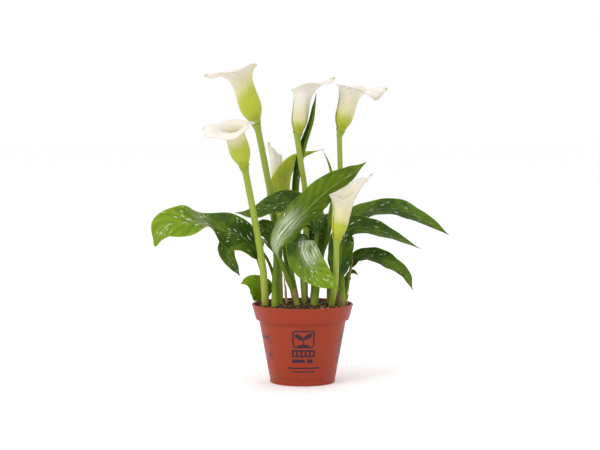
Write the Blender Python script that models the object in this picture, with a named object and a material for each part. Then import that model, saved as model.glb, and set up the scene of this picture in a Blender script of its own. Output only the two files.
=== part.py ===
"""Potted calla lily: a tapered nursery pot of potting soil, four tubers in it, six flowers and their leaves.

Metres, +Z up. The origin is the centre of the pot's base, on the ground. The printed front of the pot
faces -Y. Plant shapes are given in millimetres from the middle of the soil's surface.
"""

import math
from typing import NamedTuple

import bmesh
import bpy
from mathutils import Vector
from mathutils.geometry import interpolate_bezier

MM = 0.001

# Pot: a thin moulded cone with a stepped rim band and a foot.
POT_HEIGHT = 0.0932
RIM_RADIUS = 0.060
BAND_HEIGHT = 0.0185
BAND_TAPER = 0.0049
BAND_STEP = 0.0035
BASE_RADIUS = 0.0385
FOOT_HEIGHT = 0.0078
FOOT_STEP = 0.0009
POT_WALL = 0.0012
LIP_WIDTH = 0.0022
FLOOR_RAISE = 0.0018
FLOOR_THICKNESS = 0.0015
PAD_RADIUS = 0.012
FOOT_RING = 0.0045
DRAIN_COUNT = 8
DRAIN_RADIUS = 0.003
DRAIN_DEPTH = 0.02
DRAIN_SEGMENTS = 12
POT_SEGMENTS = 36
EDGE_ROUND = 0.0006
LIP_EDGE = 0.0012
FLOOR_FILLET = 0.002
SHELF_INSET = 0.004

# Soil: it fills the pot and is a little higher in the middle.
SOIL_DROP = 0.0022
SOIL_DOME = 0.0030
SOIL_EDGE_FALL = 0.0025
SOIL_BUMP = 0.0006
SOIL_FLOOR_GAP = 0.0003
SOIL_RINGS = 6
CLEARANCE = 0.0003
SOCKET_RISE = 0.0015

# Tubers: flattened, buried, with a flat crown that the shoots stand on.
TUBER_RADIUS = 0.0140
TUBER_HEIGHT = 0.0170
CROWN_DEPTH = 0.0100
CROWN_FLAT = 0.80
CROWN_DRAW = 0.90
# Name, place in millimetres, and how far it moves for each millimetre that the tubers' radius grows.
CROWN_PLACES = (
    ("left", -31, -6, -0.3, 1.5),
    ("middle", 2, -10, -0.5, 0),
    ("right", 34, -6, -0.8, 1.5),
    ("back", 1, 25, 0, 0),
)
# The soil's radius that the crowns and the shoots' feet are drawn for.
CROWN_REACH = 0.0561
TUBER_SEGMENTS = 18

# Shoots: stems and leaf stalks are eight-sided in section, blades and spathes are thin.
PLANT_HEIGHT = 0.286
STEM_SIDES = 8
LEAF_SIDES = 8
BLADE_THICKNESS = 0.0010
SPATHE_THICKNESS = 0.0008
SPATHE_OVERLAP = 0.0008
SPATHE_WRAP = math.pi + 0.35
SPATHE_SEAT = 0.006
SPATHE_COLUMNS = 15
SPATHE_ROWS = 7
SPADIX_RADIUS = 0.0022
SPADIX_SIDES = 10
STRAND_SIDES = 6

# The plant's points are drawn for these sizes, and follow the real ones.
DRAWN_HEIGHT = 0.286
DRAWN_RIM_RADIUS = 0.060
DRAWN_TUBER_RADIUS = 0.0140
POINT_SCALE = PLANT_HEIGHT / DRAWN_HEIGHT
SIDE_SCALE = RIM_RADIUS / DRAWN_RIM_RADIUS
TUBER_GROWTH = TUBER_RADIUS - DRAWN_TUBER_RADIUS
SOIL_LEVEL = POT_HEIGHT - SOIL_DROP

COLOURS = {
    "terracotta": ((0.45, 0.052, 0.017), 0.45),
    "soil": ((0.035, 0.018, 0.010), 0.95),
    "tuber": ((0.22, 0.12, 0.05), 0.85),
    "stem": ((0.22, 0.36, 0.03), 0.45),
    "leaf": ((0.045, 0.14, 0.018), 0.42),
    "leaf_light": ((0.20, 0.32, 0.03), 0.45),
    "spathe": ((0.86, 0.82, 0.62), 0.50),
    "spadix": ((0.85, 0.62, 0.08), 0.70),
    "dry": ((0.42, 0.27, 0.14), 0.85),
}


class Leaf(NamedTuple):
    """A leaf: its stalk leaves the soil at foot, and the blade starts at a share of the length."""

    name: str
    crown: int
    foot: tuple
    spine: tuple
    faces: tuple
    width: float
    stalk: float = 3.0
    blade_from: float = 0.4
    rise: float = 0.7
    taper: float = 1.1
    fold: float = 18
    colour: str = "leaf"


class Flower(NamedTuple):
    """A flower: the stem's path, then the spathe's axis, the way its lip points and its profile."""

    name: str
    crown: int
    foot: tuple
    spine: tuple
    stem: tuple
    axis: tuple
    lip_to: tuple
    side: float
    lip: float
    flare_side: float
    flare_lip: float
    spread: float = 165
    bulb: float = 34
    tube: float = 8
    point: float = 1.4
    spadix: float = 24


LEAVES = (
    Leaf("leaf_left_long", 0, (-41, -3),
         ((-44, -6, 25), (-50, -10, 49), (-58, -14, 69), (-71, -20, 83), (-92, -30, 91),
          (-116, -38, 101), (-139, -46, 101), (-160, -50, 95), (-170, -50, 74)),
         ((0.0, (1, -0.3, 0)), (0.34, (0.6, -0.8, 0.4)), (0.5, (0.2, -1, 0.25)), (0.67, (0, -0.35, 1)),
          (0.8, (-0.1, -0.85, 0.5)), (1.0, (-0.5, -0.85, 0.1))),
         46, stalk=3.2, blade_from=0.30, rise=0.5, taper=0.5, fold=10),
    Leaf("leaf_left_small", 0, (-28, 5),
         ((-33, 4, 28), (-40, 0, 51), (-50, -3, 66), (-65, -7, 74), (-80, -10, 76), (-89, -12, 70),
          (-86, -13, 57), (-79, -13, 45), (-73, -12, 35)),
         ((0.0, (1, 0, 0)), (0.45, (0.2, -0.6, 0.8)), (0.65, (-0.2, -0.9, 0.5)), (1.0, (-0.4, -0.9, 0.3))),
         22, stalk=2.2, blade_from=0.5, rise=0.6, taper=0.9, fold=10),
    Leaf("leaf_left_sheath", 0, (-31, -17),
         ((-32, -18, 30), (-31, -16, 55), (-33, -12, 74), (-41, -4, 88), (-53, 3, 92), (-63, 8, 86)),
         ((0.0, (0.9, -0.4, 0)), (0.5, (0.5, -0.6, 0.5)), (1.0, (-0.3, -0.8, 0.6))),
         26, stalk=4.3, blade_from=0.55, taper=0.9),
    Leaf("leaf_left_young", 0, (-40, 5),
         ((-45, 4, 10), (-51, 0, 19), (-59, -5, 26), (-66, -8, 28), (-74, -10, 26)),
         ((0.0, (0.8, -0.5, 0)), (0.4, (0.2, -0.95, 0.25)), (1.0, (-0.2, -0.9, 0.5))),
         32, stalk=2.2, blade_from=0.28, rise=0.6, taper=1.2, fold=14, colour="leaf_light"),
    Leaf("leaf_spotted", 1, (12, -6),
         ((13, -6, 52), (16, -4, 88), (7, -2, 112), (-15, -1, 122), (-38, -4, 117), (-59, -7, 109),
          (-80, -6, 110)),
         ((0.0, (-1, 0, 0)), (0.4, (-0.6, -0.5, 0.6)), (0.6, (0, -0.75, 0.7)), (1.0, (0, -0.75, 0.7))),
         34, stalk=3.0, blade_from=0.44, rise=0.55, taper=0.95, fold=10),
    Leaf("leaf_silver", 1, (-5, -17),
         ((-15, -21, 29), (-25, -28, 54), (-30, -36, 73), (-18, -41, 92), (4, -39, 115), (29, -36, 138),
          (55, -32, 156), (74, -27, 170)),
         ((0.0, (1, 0, 0)), (0.35, (0.2, 0.9, 0.3)), (0.6, (-0.35, 0.85, 0.4)), (1.0, (-0.35, 0.8, 0.5))),
         40, stalk=3.2, blade_from=0.33, rise=0.75, taper=0.8, fold=12),
    Leaf("leaf_front_hanging", 1, (13, -17),
         ((17, -20, 30), (15, -19, 52), (7, -17, 70), (1, -21, 79), (-1, -31, 77), (0, -43, 66),
          (7, -50, 53), (23, -55, 38), (43, -58, 24)),
         ((0.0, (0, -1, 0)), (0.42, (0, -0.5, 0.9)), (0.6, (-0.1, -0.95, 0.35)), (0.8, (-0.3, -0.85, 0.4)),
          (1.0, (-0.3, -0.8, 0.5))),
         39, stalk=3.2, blade_from=0.40, rise=1.1, taper=1.1, fold=8),
    Leaf("leaf_right_folded", 2, (44, -14),
         ((46, -16, 31), (45, -14, 58), (48, -13, 79), (57, -16, 92), (74, -22, 93), (96, -26, 88),
          (118, -28, 78), (138, -30, 69)),
         ((0.0, (0, -1, 0)), (0.35, (-0.2, -0.95, 0)), (0.5, (-0.3, -0.8, 0.5)), (0.66, (0, -0.6, 0.8)),
          (1.0, (0.2, -0.5, 0.8))),
         33, stalk=4.2, blade_from=0.24, rise=0.5, taper=1.0, fold=14),
    Leaf("leaf_right_upper", 2, (31, -4),
         ((36, -2, 51), (41, 2, 83), (50, 6, 101), (66, 4, 108), (89, -2, 114), (114, -10, 114),
          (142, -16, 102), (171, -20, 85)),
         ((0.0, (-1, 0, 0)), (0.4, (-0.5, -0.5, 0.8)), (0.6, (0, -0.7, 0.8)), (1.0, (0.3, -0.7, 0.7))),
         29, stalk=2.8, blade_from=0.40, rise=0.5, taper=0.75, fold=12),
    Leaf("leaf_right_lower", 2, (47, -3),
         ((53, -2, 22), (57, -4, 44), (65, -6, 58), (80, -10, 60), (100, -16, 53), (119, -22, 39),
          (129, -26, 20)),
         ((0.0, (-1, 0, 0)), (0.4, (-0.3, -0.6, 0.7)), (0.7, (0.2, -0.7, 0.7)), (1.0, (0.6, -0.7, 0.3))),
         24, stalk=2.2, blade_from=0.36, rise=0.55, taper=0.8, fold=12),
    Leaf("leaf_right_tiny", 2, (46, 6),
         ((51, 12, 18), (55, 14, 33), (61, 11, 38), (67, 8, 33)),
         ((0.0, (-1, 0, 0)), (1.0, (0.2, -0.7, 0.7))),
         9, stalk=1.5, blade_from=0.45),
    Leaf("leaf_rolled_tall", 3, (2, 17),
         ((-3, 24, 64), (-5, 30, 117), (-4, 32, 147), (4, 29, 187), (13, 15, 218), (16, -3, 250)),
         ((0.0, (-1, -0.6, 0)), (0.5, (-0.8, -0.6, 0)), (1.0, (-0.8, -0.6, 0.3))),
         17, stalk=2.8, blade_from=0.42, rise=0.4, taper=0.7, fold=58),
    Leaf("leaf_olive_arching", 3, (-9, 24),
         ((-20, 31, 50), (-26, 36, 93), (-27, 39, 123), (-24, 41, 144), (-16, 41, 163), (-3, 41, 174),
          (11, 40, 179), (26, 38, 184)),
         ((0.0, (1, 0, 0)), (0.4, (0.5, 0.8, 0)), (0.7, (-0.4, 0.85, 0.3)), (1.0, (-0.2, 0.7, 0.7))),
         32, stalk=2.8, blade_from=0.38, rise=0.8, taper=1.5, fold=16, colour="leaf_light"),
    Leaf("leaf_thin_upright", 3, (12, 20),
         ((23, 26, 50), (35, 33, 106), (39, 36, 135), (35, 36, 157), (30, 35, 171), (23, 33, 184)),
         ((0.0, (-1, 0, 0)), (1.0, (-0.6, -0.7, 0.4))),
         9, stalk=1.9, blade_from=0.5, rise=0.4, fold=40, colour="leaf_light"),
    Leaf("leaf_centre_back", 3, (12, 31),
         ((15, 38, 30), (18, 43, 60), (22, 50, 90), (25, 62, 103), (27, 78, 98), (29, 92, 80)),
         ((0.0, (0, -1, 0)), (0.5, (0, -0.7, 0.7)), (1.0, (0, 0.5, 0.8))),
         30, stalk=3.0, blade_from=0.36, taper=0.9),
    Leaf("leaf_back_left", 1, (-6, -3),
         ((-14, 9, 30), (-27, 16, 54), (-40, 31, 72), (-49, 52, 74), (-53, 68, 64), (-54, 80, 48)),
         ((0.0, (0.6, -0.6, 0)), (0.5, (0.4, -0.4, 0.8)), (1.0, (-0.4, 0.7, 0.6))),
         28, stalk=2.6, blade_from=0.42, taper=0.9),
    Leaf("leaf_back_middle", 3, (3, 36),
         ((4, 46, 32), (4, 60, 60), (2, 78, 76), (0, 96, 72), (-2, 110, 52)),
         ((0.0, (0, -1, 0)), (0.5, (0, -0.6, 0.8)), (1.0, (0, 0.7, 0.6))),
         30, stalk=2.8, blade_from=0.36, taper=0.9),
    Leaf("leaf_back_right", 2, (31, 6),
         ((32, 16, 30), (40, 29, 56), (48, 46, 72), (53, 64, 71), (55, 80, 54)),
         ((0.0, (0, -1, 0)), (0.5, (-0.3, -0.5, 0.8)), (1.0, (0.3, 0.7, 0.6))),
         26, stalk=2.6, blade_from=0.38, taper=0.9),
)

FLOWERS = (
    Flower("tall", 0, (-26, -7), ((-29, 2, 51), (-35, 14, 112), (-45, 18, 168), (-53, 18, 208)),
           (4.4, 3.8), (-0.34, -0.02, 1), (-1, -0.15, 0), 69, 81, 34, 62, spread=175, bulb=22, tube=6),
    Flower("front_left", 0, (-42, -12), ((-46, -22, 42), (-51, -30, 78), (-57, -35, 112), (-66, -39, 160)),
           (4.4, 3.8), (-0.28, -0.26, 1), (-0.9, 0.35, 0), 56, 64, 56, 96, spread=165, bulb=24, tube=5),
    Flower("middle", 1, (2, -3), ((4, 10, 77), (3, 17, 134), (-2, 18, 168), (-6, 17, 196)),
           (3.8, 3.3), (0.12, -0.04, 1), (1, -0.25, 0), 53, 77, 12, 60, spread=165, bulb=14, tube=6),
    Flower("right", 2, (40, 4), ((42, 16, 76), (45, 24, 140), (44, 26, 199)),
           (3.6, 3.1), (0.25, -0.04, 1), (1, -0.1, 0), 56, 77, 24, 76, spread=165, bulb=20, tube=7),
    Flower("low", 2, (33, -17), ((38, -34, 33), (39, -46, 60), (39, -52, 77)),
           (3.8, 3.4), (0.17, -0.10, 1), (1, 0.1, 0), 51, 80, 34, 27, spread=165, bulb=14, tube=6),
    Flower("bud", 3, (-6, 34), ((-16, 44, 49), (-24, 52, 93), (-27, 54, 122)),
           (3.0, 2.8), (-0.10, 0.0, 1), (-1, -0.4, 0), 46, 60, -12, -8, spread=195, bulb=16, tube=3,
           spadix=14),
)

DRY_STRANDS = (
    ("dry_strand_right", ((52, -16, -4), (53, -17, 6), (55, -16, 30), (59, -15, 56)), 0.7),
    ("dry_strand_left", ((-8, -27, -4), (-9, -28, 4), (-13, -31, 18), (-24, -37, 42)), 0.8),
    ("dry_sheath", ((-18, -16, -4), (-19, -17, 4), (-20, -18, 20), (-22, -18, 36)), 1.6),
)


def clear_scene():
    for obj in list(bpy.data.objects):
        bpy.data.objects.remove(obj, do_unlink=True)


def material(name):
    """The named colour as a material, made once."""
    if name in bpy.data.materials:
        return bpy.data.materials[name]
    colour, roughness = COLOURS[name]
    made = bpy.data.materials.new(name)
    made.use_nodes = True
    shader = made.node_tree.nodes["Principled BSDF"]
    shader.inputs["Base Color"].default_value = (*colour, 1)
    shader.inputs["Roughness"].default_value = roughness
    shader.inputs["Metallic"].default_value = 0
    made.diffuse_color = (*colour, 1)
    return made


def add_object(name, bm, colour, parent=None, cutter=False):
    """Turn a bmesh into a smooth shaded object in the scene."""
    mesh = bpy.data.meshes.new(name)
    bmesh.ops.recalc_face_normals(bm, faces=bm.faces)
    if bm.calc_volume(signed=True) < 0:
        bmesh.ops.reverse_faces(bm, faces=bm.faces)
    bm.to_mesh(mesh)
    bm.free()
    obj = bpy.data.objects.new(name, mesh)
    bpy.context.scene.collection.objects.link(obj)
    mesh.materials.append(material(colour))
    mesh.shade_smooth()
    mesh.set_sharp_from_angle(angle=math.radians(40))
    obj.parent = parent
    if cutter:
        obj.hide_render = True
        obj.display_type = "WIRE"
    return obj


def add_empty(name, location):
    empty = bpy.data.objects.new(name, None)
    bpy.context.scene.collection.objects.link(empty)
    empty.location = location
    return empty


def mix(low, high, share):
    return low + (high - low) * share


def ease(value, start, end):
    """0 before start, 1 after end, and a smooth step between them."""
    share = min(max((value - start) / (end - start), 0.0), 1.0)
    return share * share * (3 - 2 * share)


def lathe(outline, segments):
    """Turn a closed outline of (radius, height) points around Z. Points on the axis close the ends."""
    bm = bmesh.new()
    verts = [bm.verts.new((radius, 0, height)) for radius, height in outline]
    edges = [bm.edges.new(pair) for pair in zip(verts, verts[1:])]
    bmesh.ops.spin(bm, geom=verts + edges, cent=(0, 0, 0), axis=(0, 0, 1), angle=math.tau,
                   steps=segments, use_merge=True)
    bmesh.ops.remove_doubles(bm, verts=bm.verts, dist=1e-6)
    return bm


def smooth_path(points, per_span=12):
    """Many points along one smooth curve through the given ones."""
    given = [Vector(point) for point in points]
    ends = [given[0] * 2 - given[1], *given, given[-1] * 2 - given[-2]]
    path = []
    for before, start, end, after in zip(ends, ends[1:], ends[2:], ends[3:]):
        reach = (end - start).length / 3
        handle_start = start + (end - before).normalized() * reach
        handle_end = end - (after - start).normalized() * reach
        path += interpolate_bezier(start, handle_start, handle_end, end, per_span)[:-1]
    path.append(given[-1])
    return path


def stations(path, shares):
    """The place and direction at each share of the path's length."""
    travelled = [0.0]
    for start, end in zip(path, path[1:]):
        travelled.append(travelled[-1] + (end - start).length)
    found = []
    for share in shares:
        goal = share * travelled[-1]
        step = max(i for i in range(len(path) - 1) if travelled[i] <= goal + 1e-12)
        span = path[step + 1] - path[step]
        place = path[step] + span * ((goal - travelled[step]) / span.length)
        before = path[max(step - 1, 0)]
        after = path[min(step + 2, len(path) - 1)]
        found.append((place, (after - before).normalized()))
    return found


def sweep(rings):
    """A closed skin through rings of as many points each, with flat ends.

    Both sides of a thin blade are cut into triangles along the same diagonals, so they keep apart.
    """
    bm = bmesh.new()
    start = bmesh.ops.create_circle(bm, cap_ends=True, segments=len(rings[0]), radius=1)
    for vert, place in zip(start["verts"], rings[0]):
        vert.co = place
    last = start["verts"]
    edges = [bm.edges.get((a, b)) for a, b in zip(last, last[1:] + last[:1])]
    for ring in rings[1:]:
        grown = bmesh.ops.extrude_edge_only(bm, edges=edges)["geom"]
        fresh = [item for item in grown if isinstance(item, bmesh.types.BMVert)]
        by_place = {tuple(vert.co): vert for vert in fresh}
        last = [by_place[tuple(vert.co)] for vert in last]
        edges = [bm.edges.get((a, b)) for a, b in zip(last, last[1:] + last[:1])]
        for index, edge in enumerate(edges):
            quad = edge.link_faces[0]
            here, following = last[index], last[(index + 1) % len(last)]
            corner = here if index < len(last) / 2 else following
            opposite = next(vert for vert in quad.verts
                            if vert not in (here, following) and not bm.edges.get((vert, corner)))
            bmesh.utils.face_split(quad, corner, opposite)
        for vert, place in zip(last, ring):
            vert.co = place
    bmesh.ops.contextual_create(bm, geom=edges)
    return bm


def plant_point(x, y, z):
    """A plant point in metres, from millimetres off the middle of the soil's surface."""
    return Vector((x * SIDE_SCALE, y * SIDE_SCALE, z * POINT_SCALE)) * MM + Vector((0, 0, SOIL_LEVEL))


def crown_place(crown):
    """The middle of a tuber's flat top, moved to make room as the tubers grow."""
    _, x, y, give_x, give_y = CROWN_PLACES[crown]
    spread = MM * soil_radius(SOIL_LEVEL) / CROWN_REACH
    return Vector((x * spread + give_x * TUBER_GROWTH, y * spread + give_y * TUBER_GROWTH,
                   SOIL_LEVEL - CROWN_DEPTH))


def shoot_path(crown, foot, spine):
    """The smooth path of a shoot, from the tuber's crown through its foot at the soil and up its spine."""
    spread = soil_radius(SOIL_LEVEL) / CROWN_REACH
    at_soil = Vector((foot[0] * MM * spread, foot[1] * MM * spread, SOIL_LEVEL))
    top = crown_place(crown)
    start = Vector((mix(top.x, at_soil.x, CROWN_DRAW), mix(top.y, at_soil.y, CROWN_DRAW), top.z + CLEARANCE))
    return smooth_path([start, at_soil, *(plant_point(*point) for point in spine)])


def band_bottom():
    return POT_HEIGHT - BAND_HEIGHT


def body_radius(height):
    """The pot's outer radius between the foot and the rim band."""
    top = RIM_RADIUS - BAND_TAPER - BAND_STEP
    bottom = BASE_RADIUS + FOOT_STEP
    return mix(bottom, top, (height - FOOT_HEIGHT) / (band_bottom() - FOOT_HEIGHT))


def band_radius(height):
    """The rim band's outer radius."""
    return mix(RIM_RADIUS - BAND_TAPER, RIM_RADIUS, (height - band_bottom()) / BAND_HEIGHT)


def soil_radius(height):
    """The radius of the space inside the pot, less the gap that the soil keeps."""
    outer = band_radius(height) if height > band_bottom() + POT_WALL else body_radius(height)
    return outer - POT_WALL - CLEARANCE


def floor_top():
    return FLOOR_RAISE + FLOOR_THICKNESS


def build_pot(parent):
    """The pot: turned, with drain holes through the raised part of its floor."""
    step = band_bottom()
    ring_inner = BASE_RADIUS - FOOT_RING
    outline = [
        (0, 0),
        (PAD_RADIUS, 0),
        (PAD_RADIUS + FLOOR_RAISE, FLOOR_RAISE),
        (ring_inner - FLOOR_RAISE, FLOOR_RAISE),
        (ring_inner, 0),
        (BASE_RADIUS - EDGE_ROUND, 0),
        (BASE_RADIUS, EDGE_ROUND),
        (BASE_RADIUS + 0.0004, FOOT_HEIGHT - EDGE_ROUND),
        (body_radius(FOOT_HEIGHT), FOOT_HEIGHT),
        (body_radius(step), step - 0.0002),
        (band_radius(step) - 0.0005, step),
        (band_radius(step), step + EDGE_ROUND),
        (band_radius(POT_HEIGHT - 0.0022), POT_HEIGHT - 0.0022),
        (RIM_RADIUS, POT_HEIGHT - LIP_EDGE),
        (RIM_RADIUS - 0.0005, POT_HEIGHT - 0.0002),
        (RIM_RADIUS - 0.0011, POT_HEIGHT),
        (RIM_RADIUS - LIP_WIDTH + 0.0004, POT_HEIGHT - 0.0002),
        (RIM_RADIUS - LIP_WIDTH, POT_HEIGHT - LIP_EDGE),
        (band_radius(POT_HEIGHT - SHELF_INSET) - POT_WALL, POT_HEIGHT - SHELF_INSET),
        (band_radius(step + FLOOR_FILLET) - POT_WALL, step + FLOOR_FILLET),
        (body_radius(step) - POT_WALL, step - POT_WALL),
        (body_radius(floor_top() + FLOOR_FILLET) - POT_WALL, floor_top() + FLOOR_FILLET),
        (body_radius(floor_top()) - POT_WALL - FLOOR_FILLET, floor_top()),
        (0, floor_top()),
    ]
    pot = add_object("pot", lathe(outline, POT_SEGMENTS), "terracotta", parent)
    ring = (PAD_RADIUS + ring_inner) / 2
    for hole in range(DRAIN_COUNT):
        angle = math.tau * (hole + 0.5) / DRAIN_COUNT
        bm = bmesh.new()
        bmesh.ops.create_cone(bm, cap_ends=True, segments=DRAIN_SEGMENTS, radius1=DRAIN_RADIUS,
                              radius2=DRAIN_RADIUS, depth=DRAIN_DEPTH)
        drill = add_object(f"drain_drill_{hole}", bm, "terracotta", parent, cutter=True)
        drill.location = (ring * math.cos(angle), ring * math.sin(angle), 0)
        cut(pot, drill)


def cut(obj, cutter):
    modifier = obj.modifiers.new(f"cut_{cutter.name}", "BOOLEAN")
    modifier.operation = "DIFFERENCE"
    modifier.solver = "EXACT"
    modifier.object = cutter


def soil_surface(x, y):
    """The height of the soil's surface over its level, at a place in metres."""
    share = min(math.hypot(x, y) / soil_radius(SOIL_LEVEL), 1.0)
    ripple = math.sin(x * 210 + 1.0) * math.cos(y * 190 - 0.5)
    return SOIL_DOME * (1 - share**2) - SOIL_EDGE_FALL * share**4 + SOIL_BUMP * ripple * (1 - share)


def build_soil(parent, cutters):
    """The soil: a turned plug just clear of the pot, its top domed, with a socket for each shoot."""
    low = floor_top() + SOIL_FLOOR_GAP
    chamfer = low + SHELF_INSET
    outline = [(0, low), (soil_radius(chamfer) - SHELF_INSET, low), (soil_radius(chamfer), chamfer)]
    shoulder = band_bottom() - POT_WALL
    outline.append((soil_radius(shoulder) - 0.0002, shoulder - 0.0004))
    above = shoulder + 2 * POT_WALL + LIP_EDGE
    outline.append((soil_radius(above) - 0.001, above))
    edge = soil_radius(SOIL_LEVEL - SOIL_EDGE_FALL) - LIP_EDGE
    outline.append((edge, SOIL_LEVEL - SOIL_EDGE_FALL))
    outline += [(edge * ring / SOIL_RINGS, SOIL_LEVEL) for ring in range(SOIL_RINGS - 1, -1, -1)]
    bm = lathe(outline, POT_SEGMENTS)
    for vert in bm.verts:
        if vert.co.z > SOIL_LEVEL - 0.0001:
            vert.co.z = SOIL_LEVEL + soil_surface(vert.co.x, vert.co.y)
    soil = add_object("potting_soil", bm, "soil", parent)
    for cutter in cutters:
        cut(soil, cutter)


def tuber_outline(grow):
    """Half of a tuber's section around Z, larger by grow all over. Its flat top is at height 0."""
    outline = [(0, grow), (TUBER_RADIUS * CROWN_FLAT + grow, grow)]
    for degrees in (64, 92, 120, 148, 168):
        turn = math.radians(degrees)
        outline.append(((TUBER_RADIUS + grow) * math.sin(turn),
                        (TUBER_HEIGHT / 2 + grow) * math.cos(turn) - TUBER_HEIGHT / 2))
    outline.append((0, -TUBER_HEIGHT - grow))
    return outline[::-1]


def build_tuber(index, parent):
    """A tuber and the cutter that makes room for it."""
    name = CROWN_PLACES[index][0]
    place = crown_place(index)
    tuber = add_object(f"tuber_{name}", lathe(tuber_outline(0), TUBER_SEGMENTS), "tuber", parent)
    tuber.location = place
    hole = lathe(tuber_outline(CLEARANCE), TUBER_SEGMENTS)
    room = add_object(f"tuber_room_{name}", hole, "soil", parent, cutter=True)
    room.location = place
    return room


def round_ring(place, direction, radius, sides):
    """A ring of points around a direction."""
    across = direction.cross(Vector((0.1, 1, 0.05))).normalized()
    along = direction.cross(across).normalized()
    turn = math.tau / sides
    return [place + (across * math.cos(turn * k) + along * math.sin(turn * k)) * radius for k in range(sides)]


def round_rod(path, shares, radius_at, sides):
    """The rings of a round rod along a path."""
    return [round_ring(place, direction, radius_at(share), sides)
            for share, (place, direction) in zip(shares, stations(path, shares))]


def buried_shares(path):
    """Shares of a shoot's length at its lower end, half way up to clear of the soil, and clear of it."""
    lengths = [(b - a).length for a, b in zip(path, path[1:])]
    clear = next(i for i, point in enumerate(path) if point.z > SOIL_LEVEL + SOIL_DOME + SOCKET_RISE)
    reach = sum(lengths[:clear]) / sum(lengths)
    return [0, reach / 2, reach]


def level(ring, height):
    """The ring with all its points at one height."""
    return [Vector((point.x, point.y, height)) for point in ring]


def socket(name, path, radius, sides, parent):
    """The cutter that makes room in the soil for the buried end of a shoot."""
    room = (radius + CLEARANCE) / math.cos(math.pi / sides)
    rings = round_rod(path, buried_shares(path), lambda share: room, sides)
    rings[0] = level(rings[0], path[0].z - 2 * CLEARANCE)
    return add_object(f"socket_{name}", sweep(rings), "soil", parent, cutter=True)


def blade_half_width(leaf, share):
    """Half of the blade's width at a share of the blade's length, from foot to tip."""
    top = leaf.rise / (leaf.rise + leaf.taper)
    peak = top**leaf.rise * (1 - top) ** leaf.taper
    return leaf.width / 2 * share**leaf.rise * (1 - share) ** leaf.taper / peak


def face_at(leaf, share):
    """Where the upper side looks at a share of the leaf's length."""
    for (start, low), (end, high) in zip(leaf.faces, leaf.faces[1:]):
        if share <= end:
            return Vector(low).normalized().lerp(Vector(high).normalized(), ease(share, start, end))
    return Vector(leaf.faces[-1][1])


def leaf_rings(leaf, path, shares, sides):
    """Rings of the leaf: round on the stalk, then thin and wide on the blade."""
    rings = []
    for share, (place, direction) in zip(shares, stations(path, shares)):
        blade = max((share - leaf.blade_from) / (1 - leaf.blade_from), 0.0)
        stalk = leaf.stalk * MM * mix(1.0, 0.75, min(share / leaf.blade_from, 1.0))
        flat = ease(blade, 0.0, 0.16)
        upper = face_at(leaf, share)
        upper = (upper - direction * upper.dot(direction)).normalized()
        side = direction.cross(upper).normalized()
        wide = max(blade_half_width(leaf, blade) * SIDE_SCALE * MM, stalk * (1 - blade), BLADE_THICKNESS)
        thick = mix(stalk, BLADE_THICKNESS / 2, flat)
        fold = math.radians(leaf.fold) * flat
        ring = []
        for k in range(sides):
            turn = math.tau * k / sides
            out = math.cos(turn)
            bend = fold * abs(out)
            middle = side * out * math.cos(bend) + upper * abs(out) ** 1.5 * math.sin(fold)
            slope = math.copysign(1.5 * math.sqrt(abs(out)) * math.sin(fold), out)
            outward = upper * (math.cos(bend) - bend * math.sin(bend)) - side * slope
            ring.append(place + middle * wide + outward.normalized() * math.sin(turn) * thick)
        rings.append(ring)
    return rings


def build_leaf(leaf, parent):
    """One leaf with its stalk, and its socket."""
    path = shoot_path(leaf.crown, leaf.foot, leaf.spine)
    stalk_steps = 4
    blade_steps = 9
    shares = buried_shares(path)
    shares += [mix(shares[-1], leaf.blade_from, step / stalk_steps) for step in range(1, stalk_steps)]
    for step in range(blade_steps + 1):
        shares.append(mix(leaf.blade_from, 1.0, math.sin(math.pi / 2 * step / blade_steps) * 0.4
                          + 0.6 * step / blade_steps))
    rings = leaf_rings(leaf, path, shares, LEAF_SIDES)
    rings[0] = level(rings[0], path[0].z)
    add_object(leaf.name, sweep(rings), leaf.colour, parent)
    return socket(leaf.name, path, leaf.stalk * MM, LEAF_SIDES, parent)


def spathe_frame(flower):
    """The flower's axis, the way its lip points and the way across."""
    axis = Vector(flower.axis).normalized()
    lip = Vector(flower.lip_to)
    lip = (lip - axis * lip.dot(axis)).normalized()
    return axis, lip, axis.cross(lip)


def spathe_foot_radius(flower):
    """The spathe's radius where it wraps the stem: clear of it, with room for the overlap."""
    step = SPATHE_WRAP / SPATHE_COLUMNS
    clear = flower.stem[1] * MM + CLEARANCE + SPATHE_THICKNESS / 2 + SPATHE_OVERLAP
    return clear / math.cos(step)


def spathe_point(flower, foot, rise, across):
    """A point of the rolled sheet: rise runs from foot 0 to rim 1, across from margin -1 to margin 1."""
    axis, lip_way, side_way = spathe_frame(flower)
    unroll = ease(rise, 0.45, 1.0)
    turn = across * mix(SPATHE_WRAP, math.radians(flower.spread), unroll)
    lip = ((1 + math.cos(math.pi * across)) / 2) ** flower.point
    length = mix(flower.side, flower.lip, lip)
    flare = mix(flower.flare_side, flower.flare_lip, (1 + math.cos(turn)) / 2)
    steps = 24
    radius = spathe_foot_radius(flower)
    height = 0.0
    stride = rise * length * POINT_SCALE * MM / steps
    for step in range(steps):
        run = rise * length * (step + 0.5) / steps
        bulge = flower.bulb * ease(run, 2, 5) * (1 - ease(run, 5, 0.42 * flower.side))
        open_up = ease(run, 0.5 * flower.side, length)
        angle = math.radians(bulge + mix(flower.tube, flare, open_up) * ease(run, 2, 6))
        radius += math.sin(angle) * stride
        height += math.cos(angle) * stride
    radius = max(radius, 0.002) + SPATHE_OVERLAP * across * abs(across)
    around = lip_way * math.cos(turn) + side_way * math.sin(turn)
    return foot + axis * height + around * radius


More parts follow.
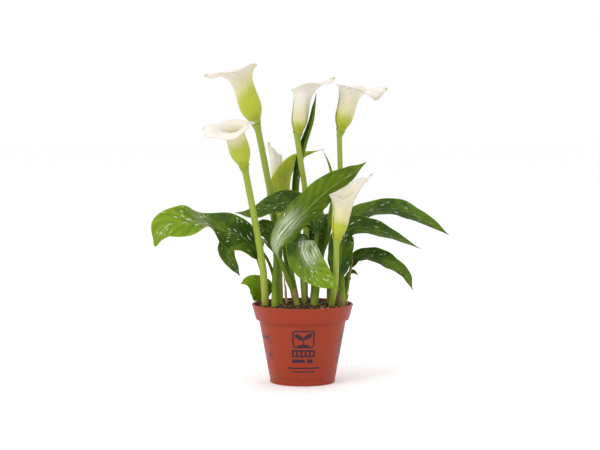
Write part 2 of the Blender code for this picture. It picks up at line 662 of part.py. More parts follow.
def build_flower(flower, parent):
    """The stem, the spathe that wraps its top and the spadix that stands on it."""
    axis, _, _ = spathe_frame(flower)
    path_points = shoot_path(flower.crown, flower.foot, flower.spine)
    top = plant_point(*flower.spine[-1])
    seat = top + axis * 2 * SPATHE_SEAT
    path = path_points + [mix(top, seat, step / 4) for step in range(1, 5)]
    shares = [*buried_shares(path), 0.24, 0.38, 0.52, 0.66, 0.8, 0.9, 1.0]
    low, high = flower.stem
    rings = round_rod(path, shares, lambda share: mix(low, high, ease(share, 0, 0.85)) * MM, STEM_SIDES)
    rings[0] = level(rings[0], path[0].z)
    add_object(f"stem_{flower.name}", sweep(rings), "stem", parent)

    bm = bmesh.new()
    bmesh.ops.create_grid(bm, x_segments=SPATHE_COLUMNS, y_segments=SPATHE_ROWS, size=1)
    foot = seat - axis * SPATHE_SEAT
    for vert in bm.verts:
        vert.co = spathe_point(flower, foot, (vert.co.y + 1) / 2, vert.co.x)
    spathe = add_object(f"spathe_{flower.name}", bm, "spathe", parent)
    wall = spathe.modifiers.new("wall", "SOLIDIFY")
    wall.thickness = SPATHE_THICKNESS
    wall.offset = 0

    reach = flower.spadix * MM
    heights = (0, 0.15, 0.5, 0.8, 0.95, 1.0)
    widths = (0.85, 1.0, 1.0, 0.85, 0.5, 0.15)
    base = seat + axis * CLEARANCE
    rings = [round_ring(base + axis * reach * height, axis, SPADIX_RADIUS * width, SPADIX_SIDES)
             for height, width in zip(heights, widths)]
    add_object(f"spadix_{flower.name}", sweep(rings), "spadix", parent)
    return socket(f"stem_{flower.name}", path, low * MM, STEM_SIDES, parent)


def build_dry_strand(name, points, radius, parent):
    """A dead shoot stuck in the soil, and its socket."""
    path = smooth_path([plant_point(*point) for point in points])
    buried = [0, 0.15, 0.3]
    shares = [*buried, 0.5, 0.7, 0.85, 1.0]
    rings = round_rod(path, shares, lambda share: radius * MM * mix(1, 0.5, share), STRAND_SIDES)
    add_object(name, sweep(rings), "dry", parent)
    room = (radius * MM + CLEARANCE) / math.cos(math.pi / STRAND_SIDES)
    rings = round_rod(path, buried, lambda share: room, STRAND_SIDES)
    down = Vector((0, 0, -CLEARANCE))
    rings[0] = [point + down for point in rings[0]]
    return add_object(f"socket_{name}", sweep(rings), "soil", parent, cutter=True)


def build():
    clear_scene()
    pot_frame = add_empty("pot_frame", (0, 0, 0))
    build_pot(pot_frame)
    cutters = [build_tuber(index, pot_frame) for index in range(len(CROWN_PLACES))]
    cutters += [build_flower(flower, pot_frame) for flower in FLOWERS]
    cutters += [build_leaf(leaf, pot_frame) for leaf in LEAVES]
    cutters += [build_dry_strand(*strand, pot_frame) for strand in DRY_STRANDS]
    build_soil(pot_frame, cutters)


build()
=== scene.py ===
"""Potted calla lily: every visible surface, modelled around the CAD frame.

The file is laid out as an add-on and is run as a script. Metres, +Z up, the printed front faces -Y.
Plant shapes are given in millimetres from the middle of the soil's surface.
"""

import math
import random
from typing import NamedTuple

import bmesh
import bpy
from mathutils import Matrix, Vector, noise
from mathutils.geometry import interpolate_bezier


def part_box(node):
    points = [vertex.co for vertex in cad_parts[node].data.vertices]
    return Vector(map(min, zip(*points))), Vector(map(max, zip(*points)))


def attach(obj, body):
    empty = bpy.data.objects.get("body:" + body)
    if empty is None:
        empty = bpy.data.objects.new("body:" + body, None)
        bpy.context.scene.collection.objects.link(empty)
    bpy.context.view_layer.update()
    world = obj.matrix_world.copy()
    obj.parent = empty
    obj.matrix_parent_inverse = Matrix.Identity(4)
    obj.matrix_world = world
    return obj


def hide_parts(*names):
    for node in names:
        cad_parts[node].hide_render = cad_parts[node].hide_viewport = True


bl_info = {
    "name": "Potted Calla Lily",
    "version": (1, 0, 0),
    "blender": (4, 5, 0),
    "location": "View3D > Sidebar > Calla Lily",
    "description": "Models the flowers, leaves, soil and pot of a calla lily around its CAD frame",
    "category": "Add Mesh",
}

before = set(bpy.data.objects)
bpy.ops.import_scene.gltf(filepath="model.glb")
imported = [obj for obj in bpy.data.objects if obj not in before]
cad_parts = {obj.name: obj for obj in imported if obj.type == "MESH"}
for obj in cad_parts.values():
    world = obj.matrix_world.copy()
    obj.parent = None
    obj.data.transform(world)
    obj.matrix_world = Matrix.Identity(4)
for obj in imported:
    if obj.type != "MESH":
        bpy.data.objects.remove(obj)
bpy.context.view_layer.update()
POT_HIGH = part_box("pot")[1]

MM = 0.001

# The pot.
BAND_TAPER = 0.0049
BAND_STEP = 0.0035
FOOT_HEIGHT = 0.0078
FOOT_STEP = 0.0009
FOOT_EDGE = 0.0006
BAND_EDGE = 0.0008
LIP_WIDTH = 0.0022
LIP_DROP = 0.0026
LIP_DEPTH = 0.004
LIP_STEPS = 8
FLOOR_RAISE = 0.0018
FLOOR_THICKNESS = 0.0015
FLOOR_FILLET = 0.002
PAD_RADIUS = 0.012
FOOT_RING = 0.0045
DRAIN_COUNT = 8
DRAIN_RADIUS = 0.003
DRAIN_DEPTH = 0.02
POT_SEGMENTS = 144
PRINT_RADIUS_MM = 46
PRINT_REACH = 0.0368
PRINT_SLOPE = 0.17
PRINT_TOP = 0.070

# The soil and the tubers.
SOIL_DROP = 0.0022
SOIL_DOME = 0.0030
SOIL_EDGE_FALL = 0.0025
SOIL_BUMP = 0.0006
CLEARANCE = 0.0003
CROWN_DEPTH = 0.0100
CROWN_DRAW = 0.90
CROWN_PLACES = ((-31, -6), (2, -10), (34, -6), (1, 25))
CROWN_REACH = 0.0561

# The shoots.
BLADE_THICKNESS = 0.0006
SPATHE_THICKNESS = 0.0009
SPATHE_OVERLAP = 0.0008
SPATHE_WRAP = math.pi + 0.35
SPATHE_SEAT = 0.006
NECK_LENGTH = 0.012
NECK_GAP = 0.0002
SPATHE_COLUMN_STEP = SPATHE_WRAP / 15
SPADIX_RADIUS = 0.0022
STEM_SIDES = 28
STEM_RINGS = 60
NECK_RINGS = 8
SPATHE_COLUMNS = 96
SPATHE_ROWS = 44
SPADIX_SIDES = 54
SPADIX_SPIRALS = 9
STRAND_SIDES = 12
STRAND_RINGS = 40
SHEATH_CELLS = 14
SHEATH_WALL = 0.0002
RING_GUIDE = Vector((0.1, 1, 0.05))

# The stage.
FLOOR_REACH = 12
LIGHT_AIM = Vector((0, 0, 0.2))
CAMERA_LENS_MM = 102
CAMERA_PLACE = Vector((-0.003, -2.0, 0.3288))
CAMERA_AIM = Vector((-0.003, 0, 0.186))


class Leaf(NamedTuple):
    """A leaf: its stalk leaves the soil at foot, and the blade starts at a share of the length."""

    name: str
    crown: int
    foot: tuple
    spine: tuple
    faces: tuple
    width: float
    stalk: float = 3.0
    blade_from: float = 0.4
    rise: float = 0.7
    taper: float = 1.1
    fold: float = 18
    look: str = "dark"
    wave: float = 1.0
    waves: float = 2.5


class Flower(NamedTuple):
    """A flower: the stem's path, then the spathe's axis, the way its lip points and its profile."""

    name: str
    crown: int
    foot: tuple
    spine: tuple
    stem: tuple
    axis: tuple
    lip_to: tuple
    side: float
    lip: float
    flare_side: float
    flare_lip: float
    spread: float = 165
    bulb: float = 34
    tube: float = 8
    point: float = 1.4
    spadix: float = 24
    curl: float = 20
    beak: float = 5
    lobes: tuple = ()
    opens: float = 0.5
    green: float = 0.25
    green_side: float = 0.1
    cream: float = 0.40


LEAVES = (
    Leaf("leaf_left_long", 0, (-41, -3),
         ((-44, -6, 25), (-50, -10, 49), (-58, -14, 69), (-71, -20, 83), (-92, -30, 91),
          (-116, -38, 101), (-139, -46, 101), (-160, -50, 95), (-170, -50, 74)),
         ((0.0, (1, -0.3, 0)), (0.34, (0.6, -0.8, 0.4)), (0.5, (0.2, -1, 0.25)), (0.67, (0, -0.35, 1)),
          (0.8, (-0.1, -0.85, 0.5)), (1.0, (-0.5, -0.85, 0.1))),
         46, stalk=3.2, blade_from=0.30, rise=0.5, taper=0.5, fold=10, look="bright_tip"),
    Leaf("leaf_left_small", 0, (-28, 5),
         ((-33, 4, 28), (-40, 0, 51), (-50, -3, 66), (-65, -7, 74), (-80, -10, 76), (-89, -12, 70),
          (-86, -13, 57), (-79, -13, 45), (-73, -12, 35)),
         ((0.0, (1, 0, 0)), (0.45, (0.2, -0.6, 0.8)), (0.65, (-0.2, -0.9, 0.5)), (1.0, (-0.4, -0.9, 0.3))),
         22, stalk=2.2, blade_from=0.5, rise=0.6, taper=0.9, fold=10),
    Leaf("leaf_left_sheath", 0, (-31, -17),
         ((-32, -18, 30), (-31, -16, 55), (-33, -12, 74), (-41, -4, 88), (-53, 3, 92), (-63, 8, 86)),
         ((0.0, (0.9, -0.4, 0)), (0.5, (0.5, -0.6, 0.5)), (1.0, (-0.3, -0.8, 0.6))),
         26, stalk=4.3, blade_from=0.55, taper=0.9),
    Leaf("leaf_left_young", 0, (-40, 5),
         ((-45, 4, 10), (-51, 0, 19), (-59, -5, 26), (-66, -8, 28), (-74, -10, 26)),
         ((0.0, (0.8, -0.5, 0)), (0.4, (0.2, -0.95, 0.25)), (1.0, (-0.2, -0.9, 0.5))),
         32, stalk=2.2, blade_from=0.28, rise=0.6, taper=1.2, fold=14, look="young"),
    Leaf("leaf_spotted", 1, (12, -6),
         ((13, -6, 52), (16, -4, 88), (7, -2, 112), (-15, -1, 122), (-38, -4, 117), (-59, -7, 109),
          (-80, -6, 110)),
         ((0.0, (-1, 0, 0)), (0.4, (-0.6, -0.5, 0.6)), (0.6, (0, -0.75, 0.7)), (1.0, (0, -0.75, 0.7))),
         34, stalk=3.0, blade_from=0.44, rise=0.55, taper=0.95, fold=10, look="spotted"),
    Leaf("leaf_silver", 1, (-5, -17),
         ((-15, -21, 29), (-25, -28, 54), (-30, -36, 73), (-18, -41, 92), (4, -39, 115), (29, -36, 138),
          (55, -32, 156), (74, -27, 170)),
         ((0.0, (1, 0, 0)), (0.35, (0.2, 0.9, 0.3)), (0.6, (-0.35, 0.85, 0.4)), (1.0, (-0.35, 0.8, 0.5))),
         40, stalk=3.2, blade_from=0.33, rise=0.75, taper=0.8, fold=12, look="silver"),
    Leaf("leaf_front_hanging", 1, (13, -17),
         ((17, -20, 30), (15, -19, 52), (7, -17, 70), (1, -21, 79), (-1, -31, 77), (0, -43, 66),
          (7, -50, 53), (23, -55, 38), (43, -58, 24)),
         ((0.0, (0, -1, 0)), (0.42, (0, -0.5, 0.9)), (0.6, (-0.1, -0.95, 0.35)), (0.8, (-0.3, -0.85, 0.4)),
          (1.0, (-0.3, -0.8, 0.5))),
         39, stalk=3.2, blade_from=0.40, rise=1.1, taper=1.1, fold=8, look="hanging"),
    Leaf("leaf_right_folded", 2, (44, -14),
         ((46, -16, 31), (45, -14, 58), (48, -13, 79), (57, -16, 92), (74, -22, 93), (96, -26, 88),
          (118, -28, 78), (138, -30, 69)),
         ((0.0, (0, -1, 0)), (0.35, (-0.2, -0.95, 0)), (0.5, (-0.3, -0.8, 0.5)), (0.66, (0, -0.6, 0.8)),
          (1.0, (0.2, -0.5, 0.8))),
         33, stalk=4.2, blade_from=0.24, rise=0.5, taper=1.0, fold=14),
    Leaf("leaf_right_upper", 2, (31, -4),
         ((36, -2, 51), (41, 2, 83), (50, 6, 101), (66, 4, 108), (89, -2, 114), (114, -10, 114),
          (142, -16, 102), (171, -20, 85)),
         ((0.0, (-1, 0, 0)), (0.4, (-0.5, -0.5, 0.8)), (0.6, (0, -0.7, 0.8)), (1.0, (0.3, -0.7, 0.7))),
         29, stalk=2.8, blade_from=0.40, rise=0.5, taper=0.75, fold=12),
    Leaf("leaf_right_lower", 2, (47, -3),
         ((53, -2, 22), (57, -4, 44), (65, -6, 58), (80, -10, 60), (100, -16, 53), (119, -22, 39),
          (129, -26, 20)),
         ((0.0, (-1, 0, 0)), (0.4, (-0.3, -0.6, 0.7)), (0.7, (0.2, -0.7, 0.7)), (1.0, (0.6, -0.7, 0.3))),
         24, stalk=2.2, blade_from=0.36, rise=0.55, taper=0.8, fold=12),
    Leaf("leaf_right_tiny", 2, (46, 6),
         ((51, 12, 18), (55, 14, 33), (61, 11, 38), (67, 8, 33)),
         ((0.0, (-1, 0, 0)), (1.0, (0.2, -0.7, 0.7))),
         9, stalk=1.5, blade_from=0.45),
    Leaf("leaf_rolled_tall", 3, (2, 17),
         ((-3, 24, 64), (-5, 30, 117), (-4, 32, 147), (4, 29, 187), (13, 15, 218), (16, -3, 250)),
         ((0.0, (-1, -0.6, 0)), (0.5, (-0.8, -0.6, 0)), (1.0, (-0.8, -0.6, 0.3))),
         17, stalk=2.8, blade_from=0.42, rise=0.4, taper=0.7, fold=58, wave=0.2),
    Leaf("leaf_olive_arching", 3, (-9, 24),
         ((-20, 31, 50), (-26, 36, 93), (-27, 39, 123), (-24, 41, 144), (-16, 41, 163), (-3, 41, 174),
          (11, 40, 179), (26, 38, 184)),
         ((0.0, (1, 0, 0)), (0.4, (0.5, 0.8, 0)), (0.7, (-0.4, 0.85, 0.3)), (1.0, (-0.2, 0.7, 0.7))),
         32, stalk=2.8, blade_from=0.38, rise=0.8, taper=1.5, fold=16, look="olive"),
    Leaf("leaf_thin_upright", 3, (12, 20),
         ((23, 26, 50), (35, 33, 106), (39, 36, 135), (35, 36, 157), (30, 35, 171), (23, 33, 184)),
         ((0.0, (-1, 0, 0)), (1.0, (-0.6, -0.7, 0.4))),
         9, stalk=1.9, blade_from=0.5, rise=0.4, fold=40, look="young", wave=0.1),
    Leaf("leaf_centre_back", 3, (12, 31),
         ((15, 38, 30), (18, 43, 60), (22, 50, 90), (25, 62, 103), (27, 78, 98), (29, 92, 80)),
         ((0.0, (0, -1, 0)), (0.5, (0, -0.7, 0.7)), (1.0, (0, 0.5, 0.8))),
         30, stalk=3.0, blade_from=0.36, taper=0.9),
    Leaf("leaf_back_left", 1, (-6, -3),
         ((-14, 9, 30), (-27, 16, 54), (-40, 31, 72), (-49, 52, 74), (-53, 68, 64), (-54, 80, 48)),
         ((0.0, (0.6, -0.6, 0)), (0.5, (0.4, -0.4, 0.8)), (1.0, (-0.4, 0.7, 0.6))),
         28, stalk=2.6, blade_from=0.42, taper=0.9, look="spotted"),
    Leaf("leaf_back_middle", 3, (3, 36),
         ((4, 46, 32), (4, 60, 60), (2, 78, 76), (0, 96, 72), (-2, 110, 52)),
         ((0.0, (0, -1, 0)), (0.5, (0, -0.6, 0.8)), (1.0, (0, 0.7, 0.6))),
         30, stalk=2.8, blade_from=0.36, taper=0.9, look="spotted"),
    Leaf("leaf_back_right", 2, (31, 6),
         ((32, 16, 30), (40, 29, 56), (48, 46, 72), (53, 64, 71), (55, 80, 54)),
         ((0.0, (0, -1, 0)), (0.5, (-0.3, -0.5, 0.8)), (1.0, (0.3, 0.7, 0.6))),
         26, stalk=2.6, blade_from=0.38, taper=0.9),
)

FLOWERS = (
    Flower("tall", 0, (-26, -7), ((-29, 2, 51), (-35, 14, 112), (-45, 18, 168), (-53, 18, 208)),
           (4.4, 3.8), (-0.34, -0.02, 1), (-1, -0.15, 0), 72.5, 88.3, 56, 84, spread=175, bulb=34, tube=-3,
           opens=0.58, curl=10, green=0.36, green_side=0.46, lobes=((-0.8, 0.16, -22), (0.8, 0.16, -22))),
    Flower("front_left", 0, (-42, -12), ((-46, -22, 42), (-51, -30, 78), (-57, -35, 112), (-66, -39, 160)),
           (4.4, 3.8), (-0.28, -0.26, 1), (-0.9, 0.35, 0), 60.5, 73, 68, 112, spread=165, bulb=32, tube=-2,
           opens=0.55, curl=38, green=0.34, green_side=0.26, lobes=((0.72, 0.2, 42), (-0.72, 0.2, 42))),
    Flower("middle", 1, (2, -3), ((4, 10, 77), (3, 17, 134), (-2, 18, 168), (-6, 17, 196)),
           (3.8, 3.3), (0.12, -0.04, 1), (1, -0.25, 0), 53.5, 80, 14, 66, spread=165, bulb=22, tube=1,
           opens=0.55, curl=20, green=0.17, green_side=0.08, cream=0.5),
    Flower("right", 2, (40, 4), ((42, 16, 76), (45, 24, 140), (44, 26, 199)),
           (3.6, 3.1), (0.25, -0.04, 1), (1, -0.1, 0), 57, 79, 26, 82, spread=165, bulb=28, tube=1,
           opens=0.52, curl=30, green=0.20, green_side=0.2, cream=0.6,
           lobes=((0.26, 0.12, 38), (-0.26, 0.12, 38))),
    Flower("low", 2, (33, -17), ((38, -34, 33), (39, -46, 60), (39, -52, 77)),
           (3.8, 3.4), (0.17, -0.10, 1), (1, 0.1, 0), 51.5, 80.8, 34, 28, spread=165, bulb=18, tube=3,
           curl=18, green=0.20, green_side=0.3, cream=0.8, lobes=((-0.55, 0.2, 26),)),
    Flower("bud", 3, (-6, 34), ((-16, 44, 49), (-24, 52, 93), (-27, 54, 122)),
           (3.0, 2.8), (-0.10, 0.0, 1), (-1, -0.4, 0), 46, 60, -8, -4, spread=195, bulb=20, tube=0,
           spadix=14, curl=0, green=0.3, green_side=0.2),
)

DRY_STRANDS = (
    ("dry_strand_right", ((52, -16, -4), (53, -17, 6), (55, -16, 30), (59, -15, 56)), 0.7),
    ("dry_strand_left", ((-8, -27, -4), (-9, -28, 4), (-13, -31, 18), (-24, -37, 42)), 0.8),
    ("dry_sheath", ((-18, -16, -4), (-19, -17, 4), (-20, -18, 20), (-22, -18, 36)), 1.6),
)


# ---------------------------------------------------------------- settings


def colour_property(name, description, default):
    return bpy.props.FloatVectorProperty(name=name, description=description, default=default,
                                         size=3, min=0, max=1, subtype="COLOR")


def length_property(name, description, default):
    return bpy.props.FloatProperty(name=name, description=description, default=default, unit="LENGTH")


def count_property(name, description, default):
    return bpy.props.IntProperty(name=name, description=description, default=default, min=0)


class CallaPotSettings(bpy.types.PropertyGroup):
    height: length_property("Height", "Height of the pot", POT_HIGH[2])
    rim_radius: length_property("Rim radius", "Outer radius of the rim", POT_HIGH[0])
    base_radius: length_property("Base radius", "Outer radius of the foot", 0.0385)
    band_height: length_property("Band height", "Height of the stepped rim band", 0.0185)
    wall: length_property("Wall", "Thickness of the moulded wall", 0.0012)
    plastic: colour_property("Plastic", "Colour of the moulded plastic", (0.37, 0.040, 0.010))
    print_ink: colour_property("Print", "Colour of the printed marks", (0.012, 0.010, 0.030))


class CallaSoilSettings(bpy.types.PropertyGroup):
    dark: colour_property("Dark", "Colour of the damp compost", (0.018, 0.009, 0.005))
    light: colour_property("Light", "Colour of the bark and fibres", (0.42, 0.27, 0.14))
    crumbs: count_property("Crumbs", "Number of loose crumbs on the soil", 420)
    fibres: count_property("Fibres", "Number of coir fibres and bark splinters", 110)
    seed: count_property("Seed", "Seed of the loose pieces", 7)


class CallaFlowerSettings(bpy.types.PropertyGroup):
    white: colour_property("White", "Colour of the spathe's rim", (0.73, 0.69, 0.63))
    cream: colour_property("Cream", "Colour of the spathe's throat", (0.66, 0.61, 0.33))
    green: colour_property("Green", "Colour of the spathe's foot", (0.40, 0.45, 0.009))
    stem: colour_property("Stem", "Colour of the stems", (0.22, 0.33, 0.011))
    stem_foot: colour_property("Stem foot", "Colour of the stems near the soil", (0.38, 0.40, 0.09))
    spadix: colour_property("Spadix", "Colour of the spadix", (0.80, 0.56, 0.06))


class CallaLeafSettings(bpy.types.PropertyGroup):
    dark: colour_property("Dark", "Colour of the upper side", (0.024, 0.064, 0.003))
    bright: colour_property("Bright", "Colour of lit and young blades", (0.20, 0.31, 0.008))
    # The olive is the blade's own yellow-green, made brighter to stand in for light shining through it from
    # behind: partly painted light.
    olive: colour_property("Olive", "Colour of the translucent olive blade", (0.60, 0.63, 0.07))
    spots: colour_property("Spots", "Colour of the white windows", (0.80, 0.84, 0.68))
    dry: colour_property("Dry", "Colour of dead strips", (0.33, 0.20, 0.10))


class CallaStageSettings(bpy.types.PropertyGroup):
    floor: colour_property("Floor", "Colour of the floor", (0.995, 0.995, 0.995))
    key_power: bpy.props.FloatProperty(
        name="Key light", description="Power of the key light", default=19, unit="POWER")
    sky: bpy.props.FloatProperty(name="Sky", description="Strength of the even light", default=1.0)


# ---------------------------------------------------------------- shader maths


class Wire:
    """A shader socket that can stand in a sum: each operation on it adds its Math node."""

    def __init__(self, tree, socket):
        self.tree = tree
        self.socket = socket

    def math(self, operation, *values):
        node = self.tree.nodes.new("ShaderNodeMath")
        node.operation = operation
        for socket, value in zip(node.inputs, values):
            plug(self.tree, socket, value)
        return Wire(self.tree, node.outputs[0])

    def __add__(self, other):
        return self.math("ADD", self, other)

    __radd__ = __add__

    def __sub__(self, other):
        return self.math("SUBTRACT", self, other)

    def __rsub__(self, other):
        return self.math("SUBTRACT", other, self)

    def __mul__(self, other):
        return self.math("MULTIPLY", self, other)

    __rmul__ = __mul__

    def __truediv__(self, other):
        return self.math("DIVIDE", self, other)

    def __pow__(self, other):
        return self.math("POWER", self, other)

    def __neg__(self):
        return self.math("MULTIPLY", self, -1.0)

    def __abs__(self):
        return self.math("ABSOLUTE", self)

    def sin(self):
        return self.math("SINE", self)

    def fall(self, near, far):
        """1 up to near, 0 from far, and smooth between them. far may be lower than near."""
        node = self.tree.nodes.new("ShaderNodeMapRange")
        node.interpolation_type = "SMOOTHSTEP"
        ends = {"Value": self, "From Min": near, "From Max": far, "To Min": 1, "To Max": 0}
        for name, value in ends.items():
            plug(self.tree, node.inputs[name], value)
        return Wire(self.tree, node.outputs[0])

    def high(self, other):
        return self.math("MAXIMUM", self, other)


def plug(tree, socket, value):
    """Link a wire to a socket, or set the socket's own value."""
    if isinstance(value, Wire):
        tree.links.new(value.socket, socket)
    elif isinstance(value, tuple) and len(value) == 3 and socket.type == "RGBA":
        socket.default_value = (*value, 1)
    else:
        socket.default_value = value


class Surface:
    """A material: its Principled shader, and one method for any other node."""

    def __init__(self, name, **constants):
        self.material = bpy.data.materials.new(name)
        self.material.use_nodes = True
        self.tree = self.material.node_tree
        self.shader = self.tree.nodes["Principled BSDF"]
        for socket, value in constants.items():
            self.set(socket.replace("_", " "), value)

    def set(self, socket, value):
        plug(self.tree, self.shader.inputs[socket], value)

    def node(self, kind, settings, inputs, output=0):
        made = self.tree.nodes.new(kind)
        for name, value in settings.items():
            setattr(made, name, value)
        for name, value in inputs.items():
            plug(self.tree, made.inputs[name], value)
        return Wire(self.tree, made.outputs[output])

    def blend(self, share, low, high):
        return self.node("ShaderNodeMix", {"data_type": "RGBA"}, {0: share, 6: low, 7: high}, 2)

    def noise(self, vector, scale, detail=3.0, roughness=0.55):
        return self.node("ShaderNodeTexNoise", {}, {
            "Vector": vector, "Scale": scale, "Detail": detail, "Roughness": roughness})

    def cells(self, vector, output=0):
        """Distance to the nearest seed (output 0) or that cell's own colour (output 1)."""
        return self.node("ShaderNodeTexVoronoi", {}, {"Vector": vector, "Scale": 1.0}, output)

    def vector(self, x, y, z):
        return self.node("ShaderNodeCombineXYZ", {}, {"X": x, "Y": y, "Z": z})

    def place(self):
        return self.node("ShaderNodeTexCoord", {}, {}, 3)

    def axes(self):
        place = self.place()
        return [self.node("ShaderNodeSeparateXYZ", {}, {"Vector": place}, axis) for axis in range(3)]

    def mark(self, name):
        """A value that the mesh carries at its points."""
        return self.node("ShaderNodeAttribute", {"attribute_name": name}, {}, 2)

    def bump(self, height, strength, distance):
        self.set("Normal", self.node("ShaderNodeBump", {}, {
            "Height": height, "Strength": strength, "Distance": distance}))


# ---------------------------------------------------------------- shapes


def mix(low, high, share):
    return low + (high - low) * share


def steps(count):
    """Even shares from 0 to 1."""
    return [step / count for step in range(count + 1)]


def turns(count):
    """Even angles around a circle."""
    return [math.tau * step / count for step in range(count)]


def ease(value, start, end):
    """0 before start, 1 after end, and a smooth step between them."""
    share = min(max((value - start) / (end - start), 0.0), 1.0)
    return share * share * (3 - 2 * share)


def bell(value, centre, width):
    return math.exp(-(((value - centre) / width) ** 2))


def smooth_path(points, per_span=16):
    """Many points along one smooth curve through the given ones."""
    given = [Vector(point) for point in points]
    ends = [given[0] * 2 - given[1], *given, given[-1] * 2 - given[-2]]
    path = []
    for before, start, end, after in zip(ends, ends[1:], ends[2:], ends[3:]):
        reach = (end - start).length / 3
        handle_start = start + (end - before).normalized() * reach
        handle_end = end - (after - start).normalized() * reach
        path += interpolate_bezier(start, handle_start, handle_end, end, per_span)[:-1]
    path.append(given[-1])
    return path


def path_length(path):
    return sum((end - start).length for start, end in zip(path, path[1:]))


def stations(path, shares):
    """The place and direction at each share of the path's length. The shares rise."""
    total = path_length(path)
    found = []
    step = 0
    travelled = 0.0
    for share in shares:
        goal = share * total
        while step < len(path) - 2 and travelled + (path[step + 1] - path[step]).length <= goal:
            travelled += (path[step + 1] - path[step]).length
            step += 1
        span = path[step + 1] - path[step]
        place = path[step] + span * ((goal - travelled) / span.length)
        before = path[max(step - 1, 0)]
        after = path[min(step + 2, len(path) - 1)]
        found.append((place, (after - before).normalized()))
    return found


def write_marks(bm, verts, marks):
    """Give each of the verts its named values."""
    for name in marks[0]:
        layer = bm.verts.layers.float.get(name) or bm.verts.layers.float.new(name)
        for vert, values in zip(verts, marks):
            vert[layer] = values[name]


def sweep(rings, marks=None):
    """A closed skin through rings of as many points each, with flat ends."""
    bm = bmesh.new()
    if marks:
        for name in marks[0][0]:
            bm.verts.layers.float.new(name)
    last = bmesh.ops.create_circle(bm, cap_ends=True, segments=len(rings[0]), radius=1)["verts"]
    for index, ring in enumerate(rings):
        if index:
            edges = [bm.edges.get((a, b)) for a, b in zip(last, last[1:] + last[:1])]
            grown = bmesh.ops.extrude_edge_only(bm, edges=edges)["geom"]
            by_place = {tuple(item.co): item for item in grown if isinstance(item, bmesh.types.BMVert)}
            last = [by_place[tuple(vert.co)] for vert in last]
        for vert, place in zip(last, ring):
            vert.co = place
        if marks:
            write_marks(bm, last, marks[index])
    edges = [bm.edges.get((a, b)) for a, b in zip(last, last[1:] + last[:1])]
    bmesh.ops.contextual_create(bm, geom=edges)
    return bm


def lathe(outline, segments):
    """Turn a closed outline of (radius, height) points around Z."""
    bm = bmesh.new()
    verts = [bm.verts.new((radius, 0, height)) for radius, height in outline]
    edges = [bm.edges.new(pair) for pair in zip(verts, verts[1:])]
    bmesh.ops.spin(bm, geom=verts + edges, cent=(0, 0, 0), axis=(0, 0, 1), angle=math.tau,
                   steps=segments, use_merge=True)
    bmesh.ops.remove_doubles(bm, verts=bm.verts, dist=1e-6)
    return bm


def add_object(name, data):
    made = bpy.data.objects.new(name, data)
    bpy.context.scene.collection.objects.link(made)
    return made


def add_mesh(name, bm):
    """An object with the bmesh as its mesh."""
    mesh = bpy.data.meshes.new(name)
    bm.to_mesh(mesh)
    bm.free()
    return add_object(name, mesh)


def add_wall(piece, thickness):
    """Give an open sheet its thickness, half to each side."""
    wall = piece.modifiers.new("wall", "SOLIDIFY")
    wall.thickness = thickness
    wall.offset = 0


def add_piece(name, bm, material, replaced, sharp=40):
    """A finished piece from a bmesh: outward, smooth, riding on the body and standing for CAD nodes."""
    bmesh.ops.recalc_face_normals(bm, faces=bm.faces)
    if bm.calc_volume(signed=True) < 0:
        bmesh.ops.reverse_faces(bm, faces=bm.faces)
    piece = add_mesh(name, bm)
    piece.data.materials.append(material)
    piece.data.shade_smooth()
    piece.data.set_sharp_from_angle(angle=math.radians(sharp))
    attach(piece, "root")
    if replaced:
        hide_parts(*replaced)
    return piece


# ---------------------------------------------------------------- the plant's own geometry


def soil_level():
    return bpy.context.scene.calla_pot.height - SOIL_DROP


def band_bottom(pot):
    return pot.height - pot.band_height


def body_radius(pot, height):
    """The pot's outer radius between the foot and the rim band."""
    top = pot.rim_radius - BAND_TAPER - BAND_STEP
    share = (height - FOOT_HEIGHT) / (band_bottom(pot) - FOOT_HEIGHT)
    return mix(pot.base_radius + FOOT_STEP, top, share)


def band_radius(pot, height):
    """The rim band's outer radius."""
    return mix(pot.rim_radius - BAND_TAPER, pot.rim_radius, (height - band_bottom(pot)) / pot.band_height)


def wall_points(radius_at, pot, low, high, count):
    """Points of the pot's outline, from just over low up to high."""
    heights = [mix(low, high, step / count) for step in range(1, count + 1)]
    return [(radius_at(pot, height), height) for height in heights]


def soil_radius(pot, height):
    """The radius of the space inside the pot, less the gap that the soil keeps."""
    inside_band = height > band_bottom(pot) + pot.wall
    outer = band_radius(pot, height) if inside_band else body_radius(pot, height)
    return outer - pot.wall - CLEARANCE


def plant_point(x, y, z):
    """A plant point in metres, from millimetres off the middle of the soil's surface."""
    return Vector((x * MM, y * MM, z * MM + soil_level()))


def shoot_path(crown, foot, spine):
    """The smooth path of a shoot, from the tuber's crown through its foot at the soil and up its spine."""
    pot = bpy.context.scene.calla_pot
    spread = soil_radius(pot, soil_level()) / CROWN_REACH
    foot = [value * spread for value in foot]
    start = [mix(centre * spread, edge, CROWN_DRAW) for centre, edge in zip(CROWN_PLACES[crown], foot)]
    low = (CLEARANCE - CROWN_DEPTH) / MM
    return smooth_path([plant_point(*start, low), plant_point(*foot, 0), *(plant_point(*p) for p in spine)])


def cross_ways(direction):
    """Two ways square to a direction and to each other."""
    across = direction.cross(RING_GUIDE).normalized()
    return across, direction.cross(across).normalized()


def round_ring(place, direction, radius, sides, ridges=0.0):
    """A ring of points around a direction, with a few shallow ridges if asked."""
    across, along = cross_ways(direction)
    ring = []
    for turn in turns(sides):
        reach = radius * (1 + ridges * math.cos(turn * 7))
        ring.append(place + (across * math.cos(turn) + along * math.sin(turn)) * reach)
    return ring


def blade_half_width(leaf, share):
    """Half of the blade's width at a share of the blade's length, from foot to tip."""
    top = leaf.rise / (leaf.rise + leaf.taper)
    peak = top**leaf.rise * (1 - top) ** leaf.taper
    return leaf.width / 2 * share**leaf.rise * (1 - share) ** leaf.taper / peak


